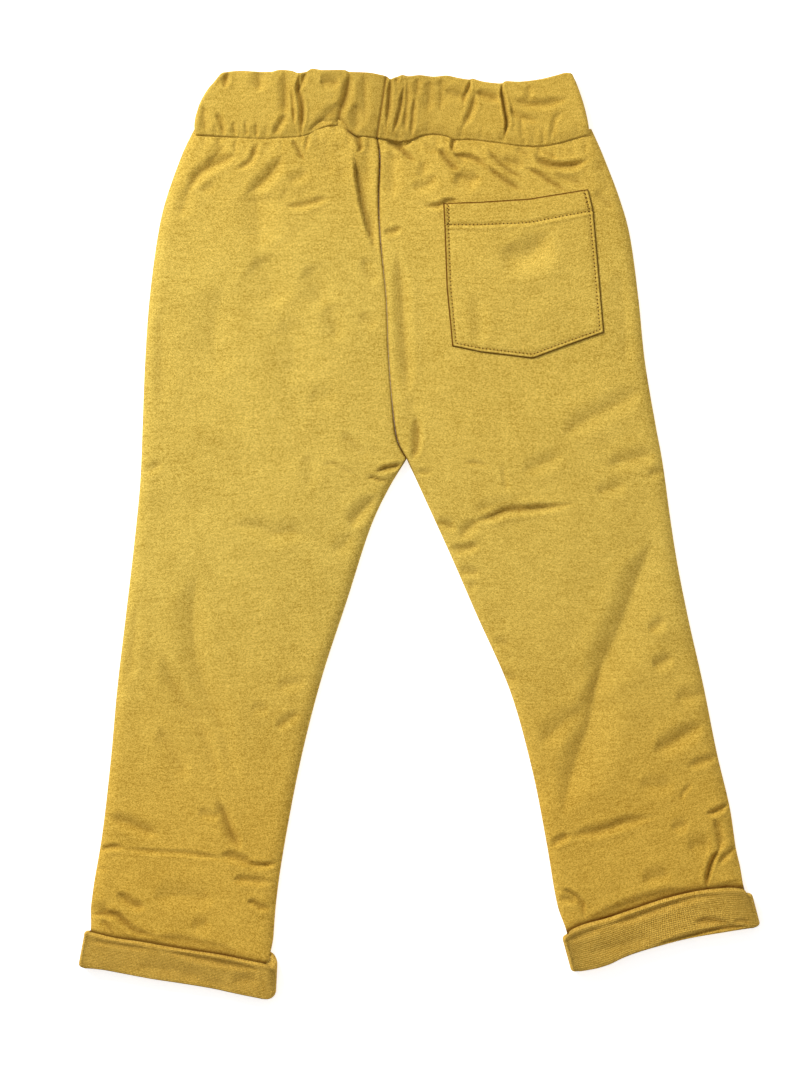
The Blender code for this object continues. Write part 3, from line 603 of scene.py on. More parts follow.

# %% [markdown]
# A shell is made from two grids of points, the outer face and the inner face, closed round the
# rim. The wall is then real cloth with a thickness, and it is one closed body. A value called
# `crease` is stored at each point: the painted shade it carries, mostly in folds, along seams
# and round the pocket. The knit is darkened by it.

# %% Shells from grids
def mesh_piece(name, points, quads, u, v, crease):
    """A mesh from points in millimetres, with its cloth UV map and its crease value."""
    a, b, c, d = (points[quads[:, k]] for k in range(4))
    volume = (np.cross(b - a, c - a) * a).sum() + (np.cross(c - a, d - a) * a).sum()
    if volume < 0:
        quads = quads[:, ::-1]
    mesh = bpy.data.meshes.new(name)
    mesh.from_pydata((points * MM).tolist(), [], quads.tolist())
    mesh.shade_smooth()
    corner = np.zeros(len(mesh.loops), np.int32)
    mesh.loops.foreach_get("vertex_index", corner)
    uv = np.stack([u[corner], v[corner]], -1).astype(np.float32) * MM
    mesh.uv_layers.new(name="cloth").data.foreach_set("uv", uv.ravel())
    # Painted shade: `crease` says how far the material darkens the knit here.
    value = mesh.attributes.new("crease", "FLOAT", "POINT")
    value.data.foreach_set("value", crease.astype(np.float32))
    piece = bpy.data.objects.new(name, mesh)
    bpy.context.scene.collection.objects.link(piece)
    print(name, len(quads) * 2, "triangles")
    return piece


def shell(name, outer, inner, u, v, crease):
    """A closed wall of cloth between two grids of points."""
    rows, columns = outer.shape[:2]
    points = np.concatenate([outer.reshape(-1, 3), inner.reshape(-1, 3)])
    index = np.arange(rows * columns).reshape(rows, columns)
    quads = np.stack([index[:-1, :-1], index[:-1, 1:], index[1:, 1:], index[1:, :-1]], -1)
    quads = quads.reshape(-1, 4)
    under = quads[:, ::-1] + rows * columns
    rim = np.concatenate([index[0, :-1], index[:-1, -1], index[-1, :0:-1], index[:0:-1, 0]])
    next_rim = np.roll(rim, -1)
    walls = np.stack([next_rim, rim, rim + rows * columns, next_rim + rows * columns], -1)
    return mesh_piece(name, points, np.concatenate([quads, under, walls]),
                      np.tile(u.ravel(), 2), np.tile(v.ravel(), 2), np.tile(crease.ravel(), 2))


# %% [markdown]
# The back panel of a leg. Its outer side rolls down to the front panel in a quarter circle.
# Its inner edge is a sewn seam above the crotch: the cloth turns in sharply and leaves a thin
# dark line. Below the crotch the same edge becomes a rolled inseam. At the waist the panel
# dips under the band, and at the ankle it dips into the turned-up hem. Grooves as narrow as
# these are lost between the pixels of a picture, so painted shade is laid along the seams and
# along the hem's rim, through `crease`.

# %% Back panels
TUCKED_TOP = 6.0
RIM_REACH = 4.5
RIM_SHADE = 1.7
RIM_LINE = 1.5
UNDER_LIFT = 2.9
LEAST_HOLLOW = 0.3
SEAM_SHARP = 0.6
SEAM_SOFT = 3.2
SEAM_REACH = 3
CENTRE_DIP = (1.2, 0.4)
WAIST_DIP = (0.35, 0.3)
CENTRE_SEAM_SHADE = 1.5
WAIST_SEAM_SHADE = 0.25
DEEPEST_DARK = 2.0
PUCKER_GAP = (4, 14)
PUCKER_LENGTH = (6, 12)
PUCKER_LEAN = (-1.5, 1.5)
PUCKER_WIDTH = (1.1, 2.2)
PUCKER_DEPTH = (0.2, 0.8)
SEAM_DEPTH = [(45, 1.3), (62, 1.3), (72, 1.1), (85, 0.7), (150, 0.65), (180, 1.0), (222, 1.3),
              (230, 1.2), (238, 0.7)]


def bell(distance, width):
    return np.exp(-((distance / width) ** 2))


def seam_dip(distance, sharp, soft):
    """How far cloth turns in beside a seam, with a faint wide hollow around it."""
    return sharp * bell(distance, SEAM_SHARP) + soft * bell(distance, SEAM_SOFT)


def puckers(start, end, side, seed):
    """Short upright creases where the elastic bunches the cloth along the waist seam."""
    chance = np.random.default_rng(seed)
    folds, x = [], start
    while x < end:
        y = line_y(WAIST_SEAM, x)
        length = chance.uniform(*PUCKER_LENGTH)
        lean = chance.uniform(*PUCKER_LEAN)
        path = [(x, y), (x + lean / 2, y + side * length / 2), (x + lean, y + side * length)]
        folds.append(Fold(path, chance.uniform(*PUCKER_WIDTH), chance.uniform(*PUCKER_DEPTH)))
        x += chance.uniform(*PUCKER_GAP)
    return folds


def round_lift(distance):
    """0 at the foot of a rolled side and 1 where the roll ends, along a quarter circle."""
    return np.sqrt(np.clip(1 - (1 - np.clip(distance / SIDE_ROLL, 0, 1)) ** 2, 0, 1))


def back_panel(name, grid, folds, hem_top, seed):
    share = grid.outer / (grid.outer + grid.inner)
    lift = round_lift(grid.outer) * mix(1, round_lift(grid.inner), grid.rolled)
    from_seam = mix(smooth_step(grid.inner / SEAM_REACH), 1, grid.rolled)
    folded, dark = fold_shape(grid.x, grid.y, folds)
    folded = folded * from_seam
    top = LEG_HEIGHT - SIDE_SINK * (1 - np.sin(np.pi * share))
    top = top + folded + rumple(grid.x, grid.y, seed) * from_seam
    seam_depth = np.interp(grid.y, *zip(*SEAM_DEPTH)) * (1 - grid.rolled)
    below_waist = np.maximum(grid.below_waist, 0)
    top = top - seam_dip(grid.inner, *CENTRE_DIP) * seam_depth - seam_dip(below_waist, *WAIST_DIP)
    above_rim = grid.y - line_y(hem_top, grid.x)
    top = mix(top, TUCKED_TOP, smooth_step(1 - above_rim / RIM_REACH))
    seat = SEAT + UNDER_LIFT * grid.tuck
    top = np.maximum(top, seat + LEAST_HOLLOW + CLOTH)
    pull = CLOTH * np.clip(1 - grid.outer / SIDE_ROLL, 0, 1)
    pull = pull - CLOTH * np.clip(1 - grid.inner / SIDE_ROLL, 0, 1) * grid.rolled
    x = grid.x - grid.side * SEAM_GAP / 2 * np.exp(-grid.inner)
    outer = np.dstack([x, grid.y, mix(seat, top, lift)])
    inner = np.dstack([x + grid.side * pull, grid.y, mix(seat, top - CLOTH, lift)])
    # Painted shade along the centre seam, below the waist seam and along the hem's rim.
    dark = dark + CENTRE_SEAM_SHADE * bell(grid.inner, SEAM_SHARP) * seam_depth
    dark = dark + WAIST_SEAM_SHADE * bell(below_waist, SEAM_SHARP)
    dark = dark + RIM_SHADE * bell(np.maximum(above_rim, 0), RIM_LINE)
    return shell(name, outer, inner, grid.u, grid.v, np.clip(dark, 0, DEEPEST_DARK))


back_left = back_panel("back_left_cloth", left_grid,
                       LEFT_FOLDS + puckers(-130, -30, -1, 61), LEFT_HEM_TOP, 3)
back_right = back_panel("back_right_cloth", right_grid,
                        RIGHT_FOLDS + puckers(-2, 100, -1, 62), RIGHT_HEM_TOP, 11)

# %% [markdown]
# The front panels lie on the table and nobody sees them from above, but the part is judged
# from below as well. Their creases are shallow arches where the cloth stands off the table,
# like those on the back, so the flat parts still rest on it.

# %% Front panels
FRONT_ARCH = 0.8
FRONT_EDGE_RISE = 1.0
FRONT_ROLL = 2.5
FRONT_EDGE_FLAT = 6
FRONT_RUMPLE = 0.5
FRONT_FLAT = 0.1

FRONT_LEFT_FOLDS = [
    Fold([(-112, 236), (-118, 222), (-120, 204)], 4, 1.2),
    Fold([(-86, 235), (-84, 216), (-88, 196)], 5, 1.4),
    Fold([(-60, 238), (-62, 222), (-58, 206)], 4, 1.0),
    Fold([(-38, 236), (-44, 212), (-42, 190)], 5, 1.3),
    Fold([(-112, 60), (-84, 50), (-52, 58)], 6, 1.2),
    Fold([(-78, 30), (-52, 34), (-28, 46)], 5, 1.4),
    Fold([(-160, 20), (-136, 10), (-112, 12)], 6, 1.1),
    Fold([(-160, -60), (-136, -84), (-104, -92)], 8, 1.3),
    Fold([(-180, -140), (-150, -132), (-118, -144)], 6, 1.3),
    Fold([(-172, -172), (-138, -182), (-100, -178)], 5, 1.4),
    Fold([(-180, -206), (-150, -214), (-112, -212)], 4.5, 1.1),
]
FRONT_RIGHT_FOLDS = [
    Fold([(-6, 236), (-10, 218), (-4, 198)], 5, 1.3),
    Fold([(22, 236), (20, 216), (28, 196)], 4, 1.1),
    Fold([(48, 234), (54, 214), (50, 192)], 5, 1.3),
    Fold([(80, 234), (78, 218), (86, 202)], 4, 1.2),
    Fold([(10, 40), (40, 30), (74, 38)], 6, 1.4),
    Fold([(62, 8), (92, 2), (124, 12)], 5, 1.2),
    Fold([(136, -30), (112, -56), (92, -92)], 8, 1.3),
    Fold([(72, -122), (104, -132), (140, -124)], 6, 1.2),
    Fold([(96, -164), (128, -156), (160, -160)], 5, 1.4),
    Fold([(88, -206), (120, -196), (158, -194)], 4.5, 1.2),
]


def front_panel(name, grid, folds, seed):
    outer_edge = smooth_step(1 - grid.outer / FRONT_ROLL)
    inner_edge = smooth_step(1 - grid.inner / FRONT_ROLL) * grid.rolled
    edge = np.maximum(outer_edge, inner_edge)
    folded, dark = fold_shape(grid.x, grid.y, folds)
    arch = -folded + FRONT_RUMPLE * rumple(grid.x, grid.y, seed) - FRONT_FLAT
    arch = np.clip(arch, 0, FRONT_ARCH)
    for from_edge in (grid.outer, grid.inner):
        arch = arch * smooth_step(from_edge / FRONT_EDGE_FLAT)
    low = UNDER_LIFT * grid.tuck + arch + FRONT_EDGE_RISE * edge
    high = UNDER_LIFT * grid.tuck + arch + FRONT_TOP
    x = grid.x - grid.side * SEAM_GAP / 2 * np.exp(-grid.inner)
    upper = np.dstack([x, grid.y, high])
    lower = np.dstack([x, grid.y, low])
    return shell(name, upper, lower, -grid.u, grid.v, dark)


front_left = front_panel("front_left_cloth", leg_grid(LEFT_LEG, FRONT_COARSER, FRONT_ROLL_STOPS),
                         FRONT_LEFT_FOLDS, 21)
front_right = front_panel("front_right_cloth",
                          leg_grid(RIGHT_LEG, FRONT_COARSER, FRONT_ROLL_STOPS),
                          FRONT_RIGHT_FOLDS, 27)

# %% [markdown]
# The waistband and the turned-up hems are tubes of cloth pressed flat. A tube could be a bent
# cylinder, but it is easier to control as a run of wall sections: over the back, round one end,
# under the front and round the other end. Each section is a closed loop, down the outer face
# and back up the inner one.

# %% Flattened tubes
Tube = namedtuple("Tube", "wall height end_roll edge_round across down end_steps")
EDGE_CROWDING = 0.45
INNER_FOLLOWS = 0.8
INNER_CURL = 0.3
LEAST_STEP = 1.2


def on_back(back):
    """0 on a tube's underside and 1 on its back, with a soft step round each end."""
    return smooth_step(back * 2 - 0.9)


def edge_profile(downs, length, radius):
    """How far a face draws in at its top and bottom edges, which are rolled over."""
    near = np.clip(np.minimum(downs, 1 - downs) * length / radius, 0, 1)
    return radius * (np.sqrt(1 - (1 - near) ** 2) - 1)


def tube_piece(name, tube, length, face_place, relief, outward):
    """A flattened tube. face_place and relief read shares across, down and round to the back."""
    half = np.pi / 2
    across = np.linspace(0, 1, tube.across)
    turn = np.linspace(0, 1, tube.end_steps + 1)[1:-1]
    shares = np.concatenate([across, np.ones_like(turn), across[::-1], np.zeros_like(turn)])
    angles = np.concatenate([
        np.full(len(across), half), half - np.pi * turn,
        np.full(len(across), -half), -half - np.pi * turn,
    ])
    dense = np.sin(np.linspace(-half, half, tube.down)) / 2 + 0.5
    downs = mix(np.linspace(0, 1, tube.down), dense, EDGE_CROWDING)
    back_up = np.linspace(1, 0, tube.down // 3)
    both = np.concatenate([downs, back_up])
    is_outer = np.arange(len(both)) < len(downs)
    share, down = (a.T for a in np.meshgrid(shares, both))
    angle = np.repeat(angles[:, None], len(both), 1)
    back = np.sin(angle) / 2 + 0.5
    x, y = face_place(share, down, back)
    raised, dark = relief(x, y, share, down, back)
    curl = edge_profile(down, length, tube.edge_round)
    inside = np.minimum(raised, 0) * INNER_FOLLOWS - tube.wall - INNER_CURL * curl
    out = np.where(is_outer, raised + curl, inside)
    out = np.where((np.sin(angle) < 0) & is_outer, np.minimum(out, 0), out)
    radius = tube.height / 2
    span = (radius + out) * np.cos(angle) * tube.end_roll / radius
    points = np.dstack([
        x + outward[0] * span, y + outward[1] * span, radius + (radius + out) * np.sin(angle)
    ])
    rows, columns = share.shape
    index = np.arange(rows * columns).reshape(rows, columns)
    right, below = np.roll(index, -1, 0), np.roll(index, -1, 1)
    quads = np.stack([index, below, np.roll(right, -1, 1), right], -1).reshape(-1, 4)
    moved = np.hypot(*np.diff(points[:, 0, :2], axis=0, append=points[:1, 0, :2]).T)
    along = np.concatenate([[0], np.cumsum(np.maximum(moved, LEAST_STEP))])[:-1]
    u = np.repeat(along[:, None], columns, 1)
    return mesh_piece(name, points.reshape(-1, 3), quads, u.ravel(), (-down * length).ravel(),
                      dark.ravel())


# %% [markdown]
# The waistband holds wide elastic. The elastic is shorter than the cloth, so the cloth stands
# in soft upright creases, a few of them sharp enough to fold over. They lean as the photo shows
# them. The band's middle seam carries on the centre-back seam below. Painted shade lies along
# the seam, in the creases and over the gathers beside the seam, through `crease`, as on the legs.

# %% Waistband
BAND = Tube(wall=2.3, height=8.4, end_roll=3.2, edge_round=1.0, across=360, down=42, end_steps=10)
BAND_LENGTH = 37
BAND_LEFT_SWELL = 5.4
BAND_RIGHT_SWELL = 1.6
SWELL_REACH = 0.16
BAND_SEAM = [(-20.3, 274), (-21.9, 262.9), (-23.9, 250.2), (-25.8, 237)]

BAND_FOLDS = [
    Fold([(-115, 277), (-116, 272), (-117.6, 266.5)], 1.4, 2.0),
    Fold([(-124, 271), (-119, 272), (-115, 275)], 2.6, 1.3),
    Fold([(-97, 278), (-97, 271.5), (-98, 265)], 3.6, 2.1),
    Fold([(-82, 277), (-81.3, 268), (-81.4, 258), (-81.8, 251)], 2.6, 2.0),
    Fold([(-80.5, 252), (-84.3, 245.5), (-88.5, 239.5)], 1.8, 2.0),
    Fold([(-77.2, 269), (-76.3, 260), (-75.5, 251), (-75.3, 245)], 0.9, 2.2, 0, 1.5),
    Fold([(-72, 278), (-73, 270), (-72.8, 265), (-71.2, 260.5), (-70.3, 256), (-70.4, 249),
          (-71.2, 243), (-71, 235)], 1.4, 3.4, 0.3, 1.5),
    Fold([(-68, 277.5), (-71, 271), (-72.8, 266)], 1.6, 2.2, 0, 1.5),
    Fold([(-67, 241.5), (-60, 246.3), (-52, 248.5)], 1.6, 1.3),
    Fold([(-64, 245), (-56, 251.5), (-49.5, 259)], 2.4, 1.7),
    Fold([(-60, 270.3), (-54, 271.6), (-48, 270)], 3.2, 2.0),
    Fold([(-44, 279), (-42.6, 274), (-43.5, 269), (-44.5, 263), (-46, 258), (-48.3, 253),
          (-48.8, 248), (-46, 244), (-42, 241), (-37, 237.5)], 2.3, 2.9, 0, 1.3),
    Fold([(-38, 258), (-39, 250), (-38.5, 241)], 3.4, 1.9),
    Fold([(-34, 276), (-34, 262), (-33.5, 245)], 2.4, 1.2),
    Fold([(-17.6, 274), (-18.2, 267), (-18.6, 261), (-19.2, 254), (-21, 240)], 1.3, 2.8, 0, 1.5),
    Fold([(-13.6, 275), (-14.2, 270)], 1.0, 1.6),
    Fold([(-9.8, 270), (-11.2, 261), (-12.3, 254), (-14.3, 246.5), (-17, 239)], 1.2, 2.7, 0, 1.5),
    Fold([(-7.6, 271), (-8.2, 261), (-9, 251), (-9.5, 240)], 1.7, 1.7),
    Fold([(-3, 263), (-4.3, 253), (-4.9, 246), (-5.4, 237)], 1.3, 2.1),
    Fold([(-1.8, 273), (-2.4, 262)], 1.8, 1.2),
    Fold([(5, 272), (5, 264), (3, 252)], 3.0, 1.5),
    Fold([(12, 273), (12, 264), (11, 254)], 3.0, 1.4),
    Fold([(15, 266.5), (21, 264), (28, 263.2)], 3.0, 1.8),
    Fold([(30, 273), (29, 268), (27.5, 264.5), (26, 261), (25.4, 257)], 1.1, 2.6, 0, 1.5),
    Fold([(33, 265), (31.4, 258), (30.3, 254), (28, 249), (24, 242.5)], 1.7, 2.2),
    Fold([(32, 264.3), (38, 263.6), (43, 262), (49, 259.5)], 2.2, 2.6),
    Fold([(49.3, 273), (48.3, 265), (49.3, 260), (50.3, 254), (51.5, 247), (51, 242),
          (49.6, 236)], 1.1, 4.2, -0.3, 3),
    Fold([(55, 261.5), (60, 259.3), (67, 258), (74, 258), (81, 259.5), (90, 261.5)], 2.2, 2.2),
    Fold([(54.8, 258), (56, 252.7), (60, 250), (65, 248.4), (73, 247.5)], 1.8, 1.9),
    Fold([(60, 250), (60.4, 243), (60.3, 236)], 1.4, 1.0),
    Fold([(86, 253), (80.5, 249), (79, 243), (77, 235)], 1.5, 1.1),
    Fold([(64, 269), (64.5, 264), (63, 260)], 2.0, 1.1),
    Fold([(-130.3, 257), (-129.6, 249), (-129.2, 241)], 2.2, 1.7),
    Fold([(-122, 252), (-118.8, 246.5), (-117.3, 238)], 1.5, 2.1),
    Fold([(-111.6, 247), (-111.2, 243), (-111, 238)], 1.3, 1.4),
    Fold([(-104.6, 248), (-104.2, 243), (-104, 238)], 1.2, 1.2),
    Fold([(-98.4, 246), (-98.1, 242), (-98, 237)], 1.1, 1.7),
]
# BAND_SHADE is painted shade over the band's gathered middle, about BAND_GATHERED mm wide.
BAND_MIDDLE = -20
BAND_GATHERED = 42
BAND_SHADE = 0.4
BAND_SEAM_DIP = (0.9, 0.4)
BAND_SEAM_SHADE = 1.2
BAND_DRAW = 1.2
BAND_DRAW_REACH = 3.6
TUBE_RUMPLE = 0.6
BAND_PUCKERS = puckers(-128, 98, 1, 63)
FRONT_PLEATS = 13
FRONT_PLEAT_DEPTH = 0.9
PLEAT_WANDER = 0.012
PLEAT_WANDER_TURNS = 19


def band_place(share, down, back):
    """The waistband's face between its wavy top edge and the waist seam."""
    swell = 4 * down * (1 - down)
    left = BAND_LEFT_SWELL * np.clip(1 - share / SWELL_REACH, 0, 1) ** 2
    right = BAND_RIGHT_SWELL * np.clip(1 - (1 - share) / SWELL_REACH, 0, 1) ** 2
    draw_in = BAND.end_roll * (1 - 2 * share)
    top_x = mix(BAND_TOP[0][0], BAND_TOP[-1][0], share) + draw_in
    seam_x = mix(WAIST_SEAM[0][0], WAIST_SEAM[-1][0], share) + draw_in
    x = mix(top_x, seam_x, down) + swell * (right - left)
    return x, mix(line_y(BAND_TOP, top_x), line_y(WAIST_SEAM, seam_x), down)


def band_relief(x, y, share, down, back):
    folded, dark = fold_shape(x, y, BAND_FOLDS + BAND_PUCKERS)
    folded = folded + TUBE_RUMPLE * rumple(x, y, 40)
    seam_x = np.interp(-y, [-p[1] for p in BAND_SEAM], [p[0] for p in BAND_SEAM])
    above_seam = (1 - down) * BAND_LENGTH
    folded = folded - seam_dip(x - seam_x, *BAND_SEAM_DIP)
    folded = folded - BAND_DRAW * bell(above_seam, BAND_DRAW_REACH)
    wander = PLEAT_WANDER * np.sin(PLEAT_WANDER_TURNS * share)
    wave = np.cos(2 * np.pi * FRONT_PLEATS * (share + wander))
    pleat = -FRONT_PLEAT_DEPTH * (0.5 + 0.5 * wave) ** 3
    # Painted shade along the band's middle seam, at the waist seam and over its gathered middle.
    dark = dark + BAND_SEAM_SHADE * bell(x - seam_x, SEAM_SHARP)
    dark = dark + WAIST_SEAM_SHADE * bell(above_seam, SEAM_SHARP)
    dark = np.clip(dark + BAND_SHADE * bell(x - BAND_MIDDLE, BAND_GATHERED), 0, DEEPEST_DARK)
    return mix(pleat, folded, on_back(back)), dark * on_back(back)


waistband = tube_piece("waistband_cloth", BAND, BAND_LENGTH, band_place, band_relief, (1, 0))

# %% [markdown]
# Each hem is turned up once, so the looped reverse of the cloth shows. The fold at its bottom
# is soft and round, and the cut edge at its top is turned in, which gives a narrow bright roll
# just under that edge. The hems hang a little crooked, as a hand has left them.

# %% Turned-up hems
HEM = Tube(wall=2.4, height=10.5, end_roll=2.2, edge_round=2.0, across=150, down=30, end_steps=12)
HEM_LENGTH = 25

LEFT_HEM_BOTTOM = [
    (-204.6, -258), (-191.2, -259.4), (-179.2, -261.6), (-160.9, -265), (-142.5, -267.8),
    (-124.1, -270.9), (-105.7, -274.8), (-86.3, -278.6),
]
RIGHT_HEM_BOTTOM = [
    (90.4, -261.4), (95.7, -260.7), (104.7, -259), (112.8, -256.4), (120, -253), (129, -249.6),
    (142.4, -245.6), (156, -242), (169.4, -239.2), (184.8, -236.6), (195, -235), (203.6, -233.6),
]
LEFT_HEM_FOLDS = [
    Fold([(-201, -241.5), (-180, -244.5), (-160, -247.5)], 1.2, 1.1),
    Fold([(-154, -247.8), (-138, -250.8), (-124, -254), (-108, -257), (-93, -259.5)], 1.7, 1.8),
    Fold([(-170, -256), (-150, -258), (-128, -262)], 4.0, 1.2),
    Fold([(-146, -262), (-128, -265), (-112, -270)], 4.0, 1.0),
    Fold([(-112, -266), (-104, -264), (-96, -266)], 3.4, 1.0),
    Fold([(-89, -259), (-88.4, -266), (-89, -273)], 1.6, 1.0),
]
RIGHT_HEM_FOLDS = [
    Fold([(108, -233), (122, -229.4), (136, -224.6), (150, -219.6), (165, -215.6),
          (183, -213.6)], 1.9, 1.8),
    Fold([(88, -242), (98, -237.5), (110, -233)], 1.6, 1.1),
    Fold([(163, -231.5), (170, -229.8), (178, -230.3), (188, -232.3)], 1.8, 2.2),
    Fold([(100, -248), (118, -243.5), (138, -238)], 4.0, 1.2),
    Fold([(136, -245.5), (150, -241.5), (163, -238.3), (175, -235.3), (187, -233.6),
          (202, -233)], 1.3, 3.0, 0, 1.5),
    Fold([(186, -231), (192, -230), (197, -231.5)], 1.2, 1.4),
]
Corners = namedtuple("Corners", "top_left bottom_left top_right bottom_right")
CORNER_REACH = 0.1
RISE_REACH = 0.2
RIM_ROLL = 0.6
RIM_ROLL_PLACE = 2
RIM_ROLL_WIDTH = 1.4
UNDER_SAG = 0.5


def corner_inset(down, top_radius, bottom_radius):
    """How far the end of a hem draws in, so that its corners are round as seen from above."""
    inset = 0
    for place, radius in ((down, top_radius), (1 - down, bottom_radius)):
        near = np.clip(1 - place * HEM_LENGTH / radius, 0, 1)
        inset = inset + radius * (1 - np.sqrt(1 - near**2))
    return inset


def hem_piece(name, top, bottom, folds, corners, end_rise, under_shows, seed):
    """A turned-up hem whose under layer may rise behind its end or show below the upper one."""
    first, last = np.array(top[0]), np.array(top[-1])
    outward = (last - first) / np.hypot(*(last - first))
    down_leg = np.array([outward[1], -outward[0]])

    def place(share, down, back):
        flat = share.ravel()
        upper = through(top, flat).reshape(*share.shape, 2)
        lower = through(bottom, flat).reshape(*share.shape, 2)
        at = mix(upper, lower, down[..., None])
        draw_in = HEM.end_roll * (1 - 2 * share)
        left_end, right_end = (np.clip(1 - s / CORNER_REACH, 0, 1) ** 2 for s in (share, 1 - share))
        draw_in += left_end * corner_inset(down, corners.top_left, corners.bottom_left)
        draw_in -= right_end * corner_inset(down, corners.top_right, corners.bottom_right)
        at = at + outward * draw_in[..., None]
        near_end = smooth_step(1 - (1 - share) / RISE_REACH)
        rise = -end_rise * (1 - back) * (1 - down) * near_end
        shows = mix(under_shows[0], under_shows[1], smooth_step(share)) * (1 - back) * down
        at = at + down_leg * (rise + shows)[..., None]
        return at[..., 0], at[..., 1]

    def relief(x, y, share, down, back):
        folded, dark = fold_shape(x, y, folds)
        folded = folded + TUBE_RUMPLE * rumple(x, y, seed)
        folded = folded + RIM_ROLL * bell(down * HEM_LENGTH - RIM_ROLL_PLACE, RIM_ROLL_WIDTH)
        wave = np.cos(9 * share + 2 * np.sin(7 * share))
        under = -UNDER_SAG * (0.5 + 0.5 * wave) ** 2
        return mix(under, folded, on_back(back)), dark * on_back(back)

    return tube_piece(name, HEM, HEM_LENGTH, place, relief, tuple(outward))


left_hem = hem_piece("left_turn_up", LEFT_HEM_TOP, LEFT_HEM_BOTTOM, LEFT_HEM_FOLDS,
                     Corners(2, 2.5, 4.5, 6.5), end_rise=7, under_shows=(0, 0), seed=50)
right_hem = hem_piece("right_turn_up", RIGHT_HEM_TOP, RIGHT_HEM_BOTTOM, RIGHT_HEM_FOLDS,
                      Corners(3, 2.5, 3, 3), end_rise=0, under_shows=(0.8, 0.6), seed=56)

# %% [markdown]
# The patch pocket is sewn flat on the right leg, so it follows the leg's creases, only more
# softly. Rays dropped onto the leg give the height below each point. The pocket has a double
# hem at its mouth, and its sides and pointed bottom are turned under and stitched down. Its
# outline is a thin line of painted shade, through `crease`, where the turned edge would throw
# a narrow shadow. The left and top edges get more of it, because they face the window and have
# no shadow of their own.

# %% Pocket
POCKET_TOP = [(13.8, 198.3), (35.4, 198.9), (65.4, 200.9), (100.4, 206.6)]
POCKET_LEFT = [(13.8, 198.3), (14.6, 183), (15.8, 148), (19.2, 112.8)]
POCKET_RIGHT = [(100.4, 206.6), (103.6, 194), (106.4, 163), (110, 121)]
POCKET_BOTTOM = [(19.2, 112.8), (36, 109.2), (66.6, 105.5), (68.6, 105.8), (86, 112.4), (110, 121)]
POCKET_WIDTH = 88
POCKET_LENGTH = 88
POCKET_CLOTH = 1.5
POCKET_HEM = 13.2
STITCH_INSET = 2.4
ABOVE_LEG = 0.15
LEAST_ABOVE_LEG = 0.1
EDGE_STOPS = np.array([0, 0.4, 0.8, 1.2, 1.7])
FIRST_EVEN_STOP = 2.2
EDGE_LINE = 0.95
EDGE_SHADE = 1.2
LIT_EDGE_LINE = 1.35
LIT_EDGE_SHADE = 0.8
EDGE_SOFTNESS = 0.5
SUNK_SHADE = 0.4


def along_edge(corners, shares):
    """Places along a run of straight or gently bent edges, even in length."""
    corners = np.array(corners, float)
    travel = np.concatenate([[0], np.cumsum(np.hypot(*np.diff(corners, axis=0).T))])
    at = np.asarray(shares) * travel[-1]
    return np.stack([np.interp(at, travel, corners[:, k]) for k in (0, 1)], -1)


def pocket_place(u, v):
    """A place in the pocket from its shares across and down, filled in from its four edges."""
    u, v = np.broadcast_arrays(np.asarray(u, float), np.asarray(v, float))
    top, bottom = along_edge(POCKET_TOP, u), along_edge(POCKET_BOTTOM, u)
    left, right = along_edge(POCKET_LEFT, v), along_edge(POCKET_RIGHT, v)
    u, v = u[..., None], v[..., None]
    corners = [np.array(edge[end]) for edge in (POCKET_TOP, POCKET_BOTTOM) for end in (0, -1)]
    flat = mix(mix(corners[0], corners[1], u), mix(corners[2], corners[3], u), v)
    return mix(top, bottom, v) + mix(left, right, u) - flat


def drop_heights(surface, x, y):
    """The height of a surface under each point, in millimetres, found by dropping rays."""
    down_ray = Vector((0, 0, -1))
    found = [
        surface.ray_cast(Vector((px * MM, py * MM, 1)), down_ray)[0].z / MM
        for px, py in zip(x.ravel(), y.ravel())
    ]
    return np.array(found).reshape(x.shape)


def soften(heights, rounds):
    """Average each height with its neighbours, a few times over."""
    for _ in range(rounds):
        wide = np.pad(heights, 1, mode="edge")
        heights = (wide[:-2, 1:-1] + wide[2:, 1:-1] + wide[1:-1, :-2] + wide[1:-1, 2:]) / 4
    return heights


def pocket_relief(across, down):
    """The pocket's own form: rolled edges, a double hem, and its lines of stitching."""
    side = np.minimum(across, POCKET_WIDTH - across)
    from_edge = np.minimum(side, POCKET_LENGTH - down)
    rolled = -1.2 * bell(from_edge, 0.55) - 1.0 * bell(down, 0.6)
    sewn = -0.6 * bell(from_edge - STITCH_INSET, 0.8)
    full = 0.5 * (1 - bell(from_edge, 13))
    hem = 0.35 * smooth_step((POCKET_HEM - down) / 1.2)
    hem_line = -0.6 * bell(down - POCKET_HEM, 0.8)
    below_hem = 0.55 * bell(down - POCKET_HEM - 2.1, 1.0)
    return rolled + sewn + full + hem + hem_line + below_hem


def pocket_stops(size, steps):
    """Distances over the pocket, close together at both edges, where the cloth rolls over."""
    even = np.linspace(FIRST_EVEN_STOP, size - FIRST_EVEN_STOP, steps)
    return np.concatenate([EDGE_STOPS, even, size - EDGE_STOPS[::-1]])


def pocket_darkness(across, down, relief):
    """Painted shade: the dark line round the pocket, and in its sunken lines of stitching."""
    lit = np.minimum(across, down)
    edge = np.minimum(lit, np.minimum(POCKET_WIDTH - across, POCKET_LENGTH - down))
    dark = EDGE_SHADE * smooth_step((EDGE_LINE - edge) / EDGE_SOFTNESS)
    dark = dark + LIT_EDGE_SHADE * smooth_step((LIT_EDGE_LINE - lit) / EDGE_SOFTNESS)
    return np.clip(dark - SUNK_SHADE * np.minimum(relief, 0), 0, DEEPEST_DARK)


